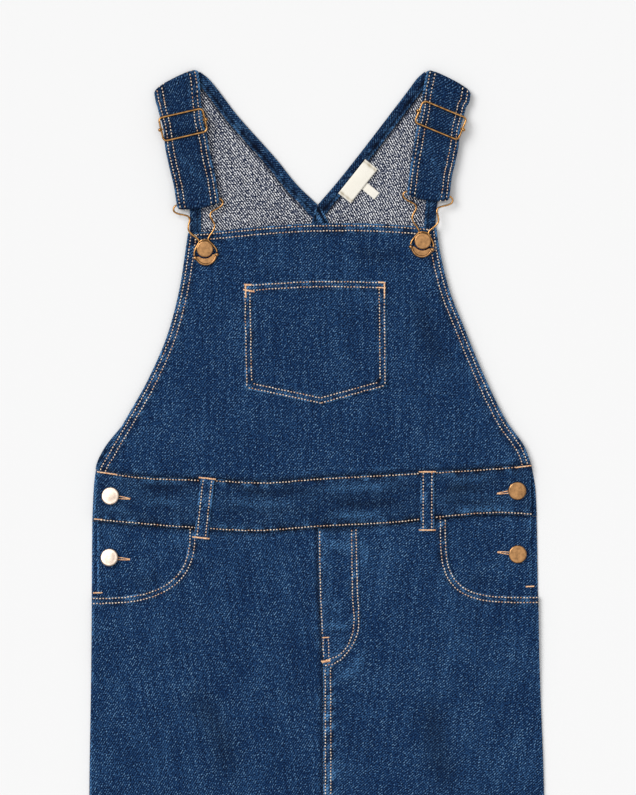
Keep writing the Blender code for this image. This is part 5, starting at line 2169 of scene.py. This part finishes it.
@dataclass
class Labels:
    """Blank woven neck label and its size tag."""

    wardrobe: Wardrobe
    label: tuple = ("neck_label", (29.4, 242.1), 30.4, 11.2, 51.5, 2.8, (34, 12))
    tag: tuple = ("size_tag", (38.0, 235.5), 12.2, 6.0, -39.5, 1.5, (13, 12))

    def build(self) -> None:
        """Makes both labels."""
        for node, (x, y), length, width, turn, z, cut in (self.label, self.tag):
            along = np.array([math.cos(math.radians(turn)), math.sin(math.radians(turn))]) * length / 2
            across = np.array([-along[1], along[0]]) / (length / 2) * width / 2
            middle = np.array([x, y])
            corners = [
                middle - along - across, middle + along - across, middle - along + across,
                middle + along + across,
            ]
            sides = [straight(corners[i], corners[j]) for i, j in ((0, 1), (2, 3), (0, 2), (1, 3))]
            plan = patch(*sides, even(50), even(20))
            ends = [line(sides[2]), line(sides[3])]
            details = [Rolled(line(s), 801 + i, 0.5, 0.0) for i, s in enumerate(sides)]
            if node == "neck_label":
                inner = [ends[0].beside(-1.6), ends[1].beside(1.6)]
                details += [Sewn(t, 811 + i, 0.25, 0.12, 1.5, 1.6, 0.0, 0.55) for i, t in enumerate(inner)]
            bow = [Fold((tuple(corners[0] + across), tuple(middle), tuple(corners[1] + across)), 5, 0.35)]
            panel = Panel(
                node, plan, level(z), 0.7, cut, ("back_bib_right_cloth",), details, bow, grain=turn,
                held="folded", slot="woven_label",
            )
            panel.build(self.wardrobe.tape, self.wardrobe.tape)


@dataclass
class Studio:
    """Paper, light and camera."""

    wardrobe: Wardrobe
    centre: Spot = (1.4, 90.65)
    tall: float = 556.5  # mm of the garment's plane in the frame's height
    distance: float = 3.0
    key: float = 1.95
    fill: float = 0.45
    ceiling: float = 40.0

    def build(self) -> None:
        """Makes the floor, lights and camera."""
        clear_selection()
        bpy.ops.mesh.primitive_plane_add(size=6, location=(0, 0, -0.0003))
        floor = bpy.context.object
        floor.name = "paper_ground"
        floor.data.transform(floor.matrix_basis)
        floor.matrix_basis = Matrix()
        floor.data.materials.append(self.wardrobe.paper)
        world = bpy.data.worlds.new("studio")
        bpy.context.scene.world = world
        world.use_nodes = True
        shade = world.node_tree.nodes["Background"]
        shade.inputs[0].default_value = (1, 1, 1, 1)
        shade.inputs[1].default_value = self.fill
        self.lamp_over()
        self.window()
        self.camera()

    def lamp_over(self) -> None:
        """A wide soft lamp over the garment, which leaves the sides of the metal darker."""
        soft = bpy.data.lights.new("ceiling", "AREA")
        soft.energy, soft.size = self.ceiling, 4.0
        placed("ceiling", soft).location = (0, 0, 3.3)

    def window(self) -> None:
        """Light from the upper left."""
        sun = bpy.data.lights.new("window", "SUN")
        sun.energy, sun.angle = self.key, math.radians(34)
        lamp = placed("window", sun)
        lamp.rotation_mode = "QUATERNION"
        lamp.rotation_quaternion = Vector((-0.66, 0.42, 0.9)).to_track_quat("Z", "Y")

    def camera(self) -> None:
        """A long lens straight above the frame's middle."""
        camera = bpy.data.cameras.new("camera")
        camera.sensor_width = 36.0
        camera.lens = 18.0 * self.distance / (self.tall / 2 * MM)
        camera.clip_start, camera.clip_end = 0.1, 20
        eye = placed("camera", camera)
        spot = Garment.place((*self.centre, 4.0))
        eye.location = (spot[0], spot[1], spot[2] + self.distance)
        bpy.context.scene.camera = eye
        bpy.context.scene.view_settings.view_transform = "Standard"


def main() -> None:
    """Makes every piece."""
    logging.basicConfig(level=logging.INFO, format="%(message)s")
    wardrobe = Wardrobe()
    Studio(wardrobe).build()
    Back(wardrobe).build()
    legs = Legs(wardrobe)
    legs.build()
    Waist(wardrobe, legs).build()
    Bib(wardrobe).build()
    Braces(wardrobe).build()
    Labels(wardrobe).build()


if __name__ == "__main__":
    main()
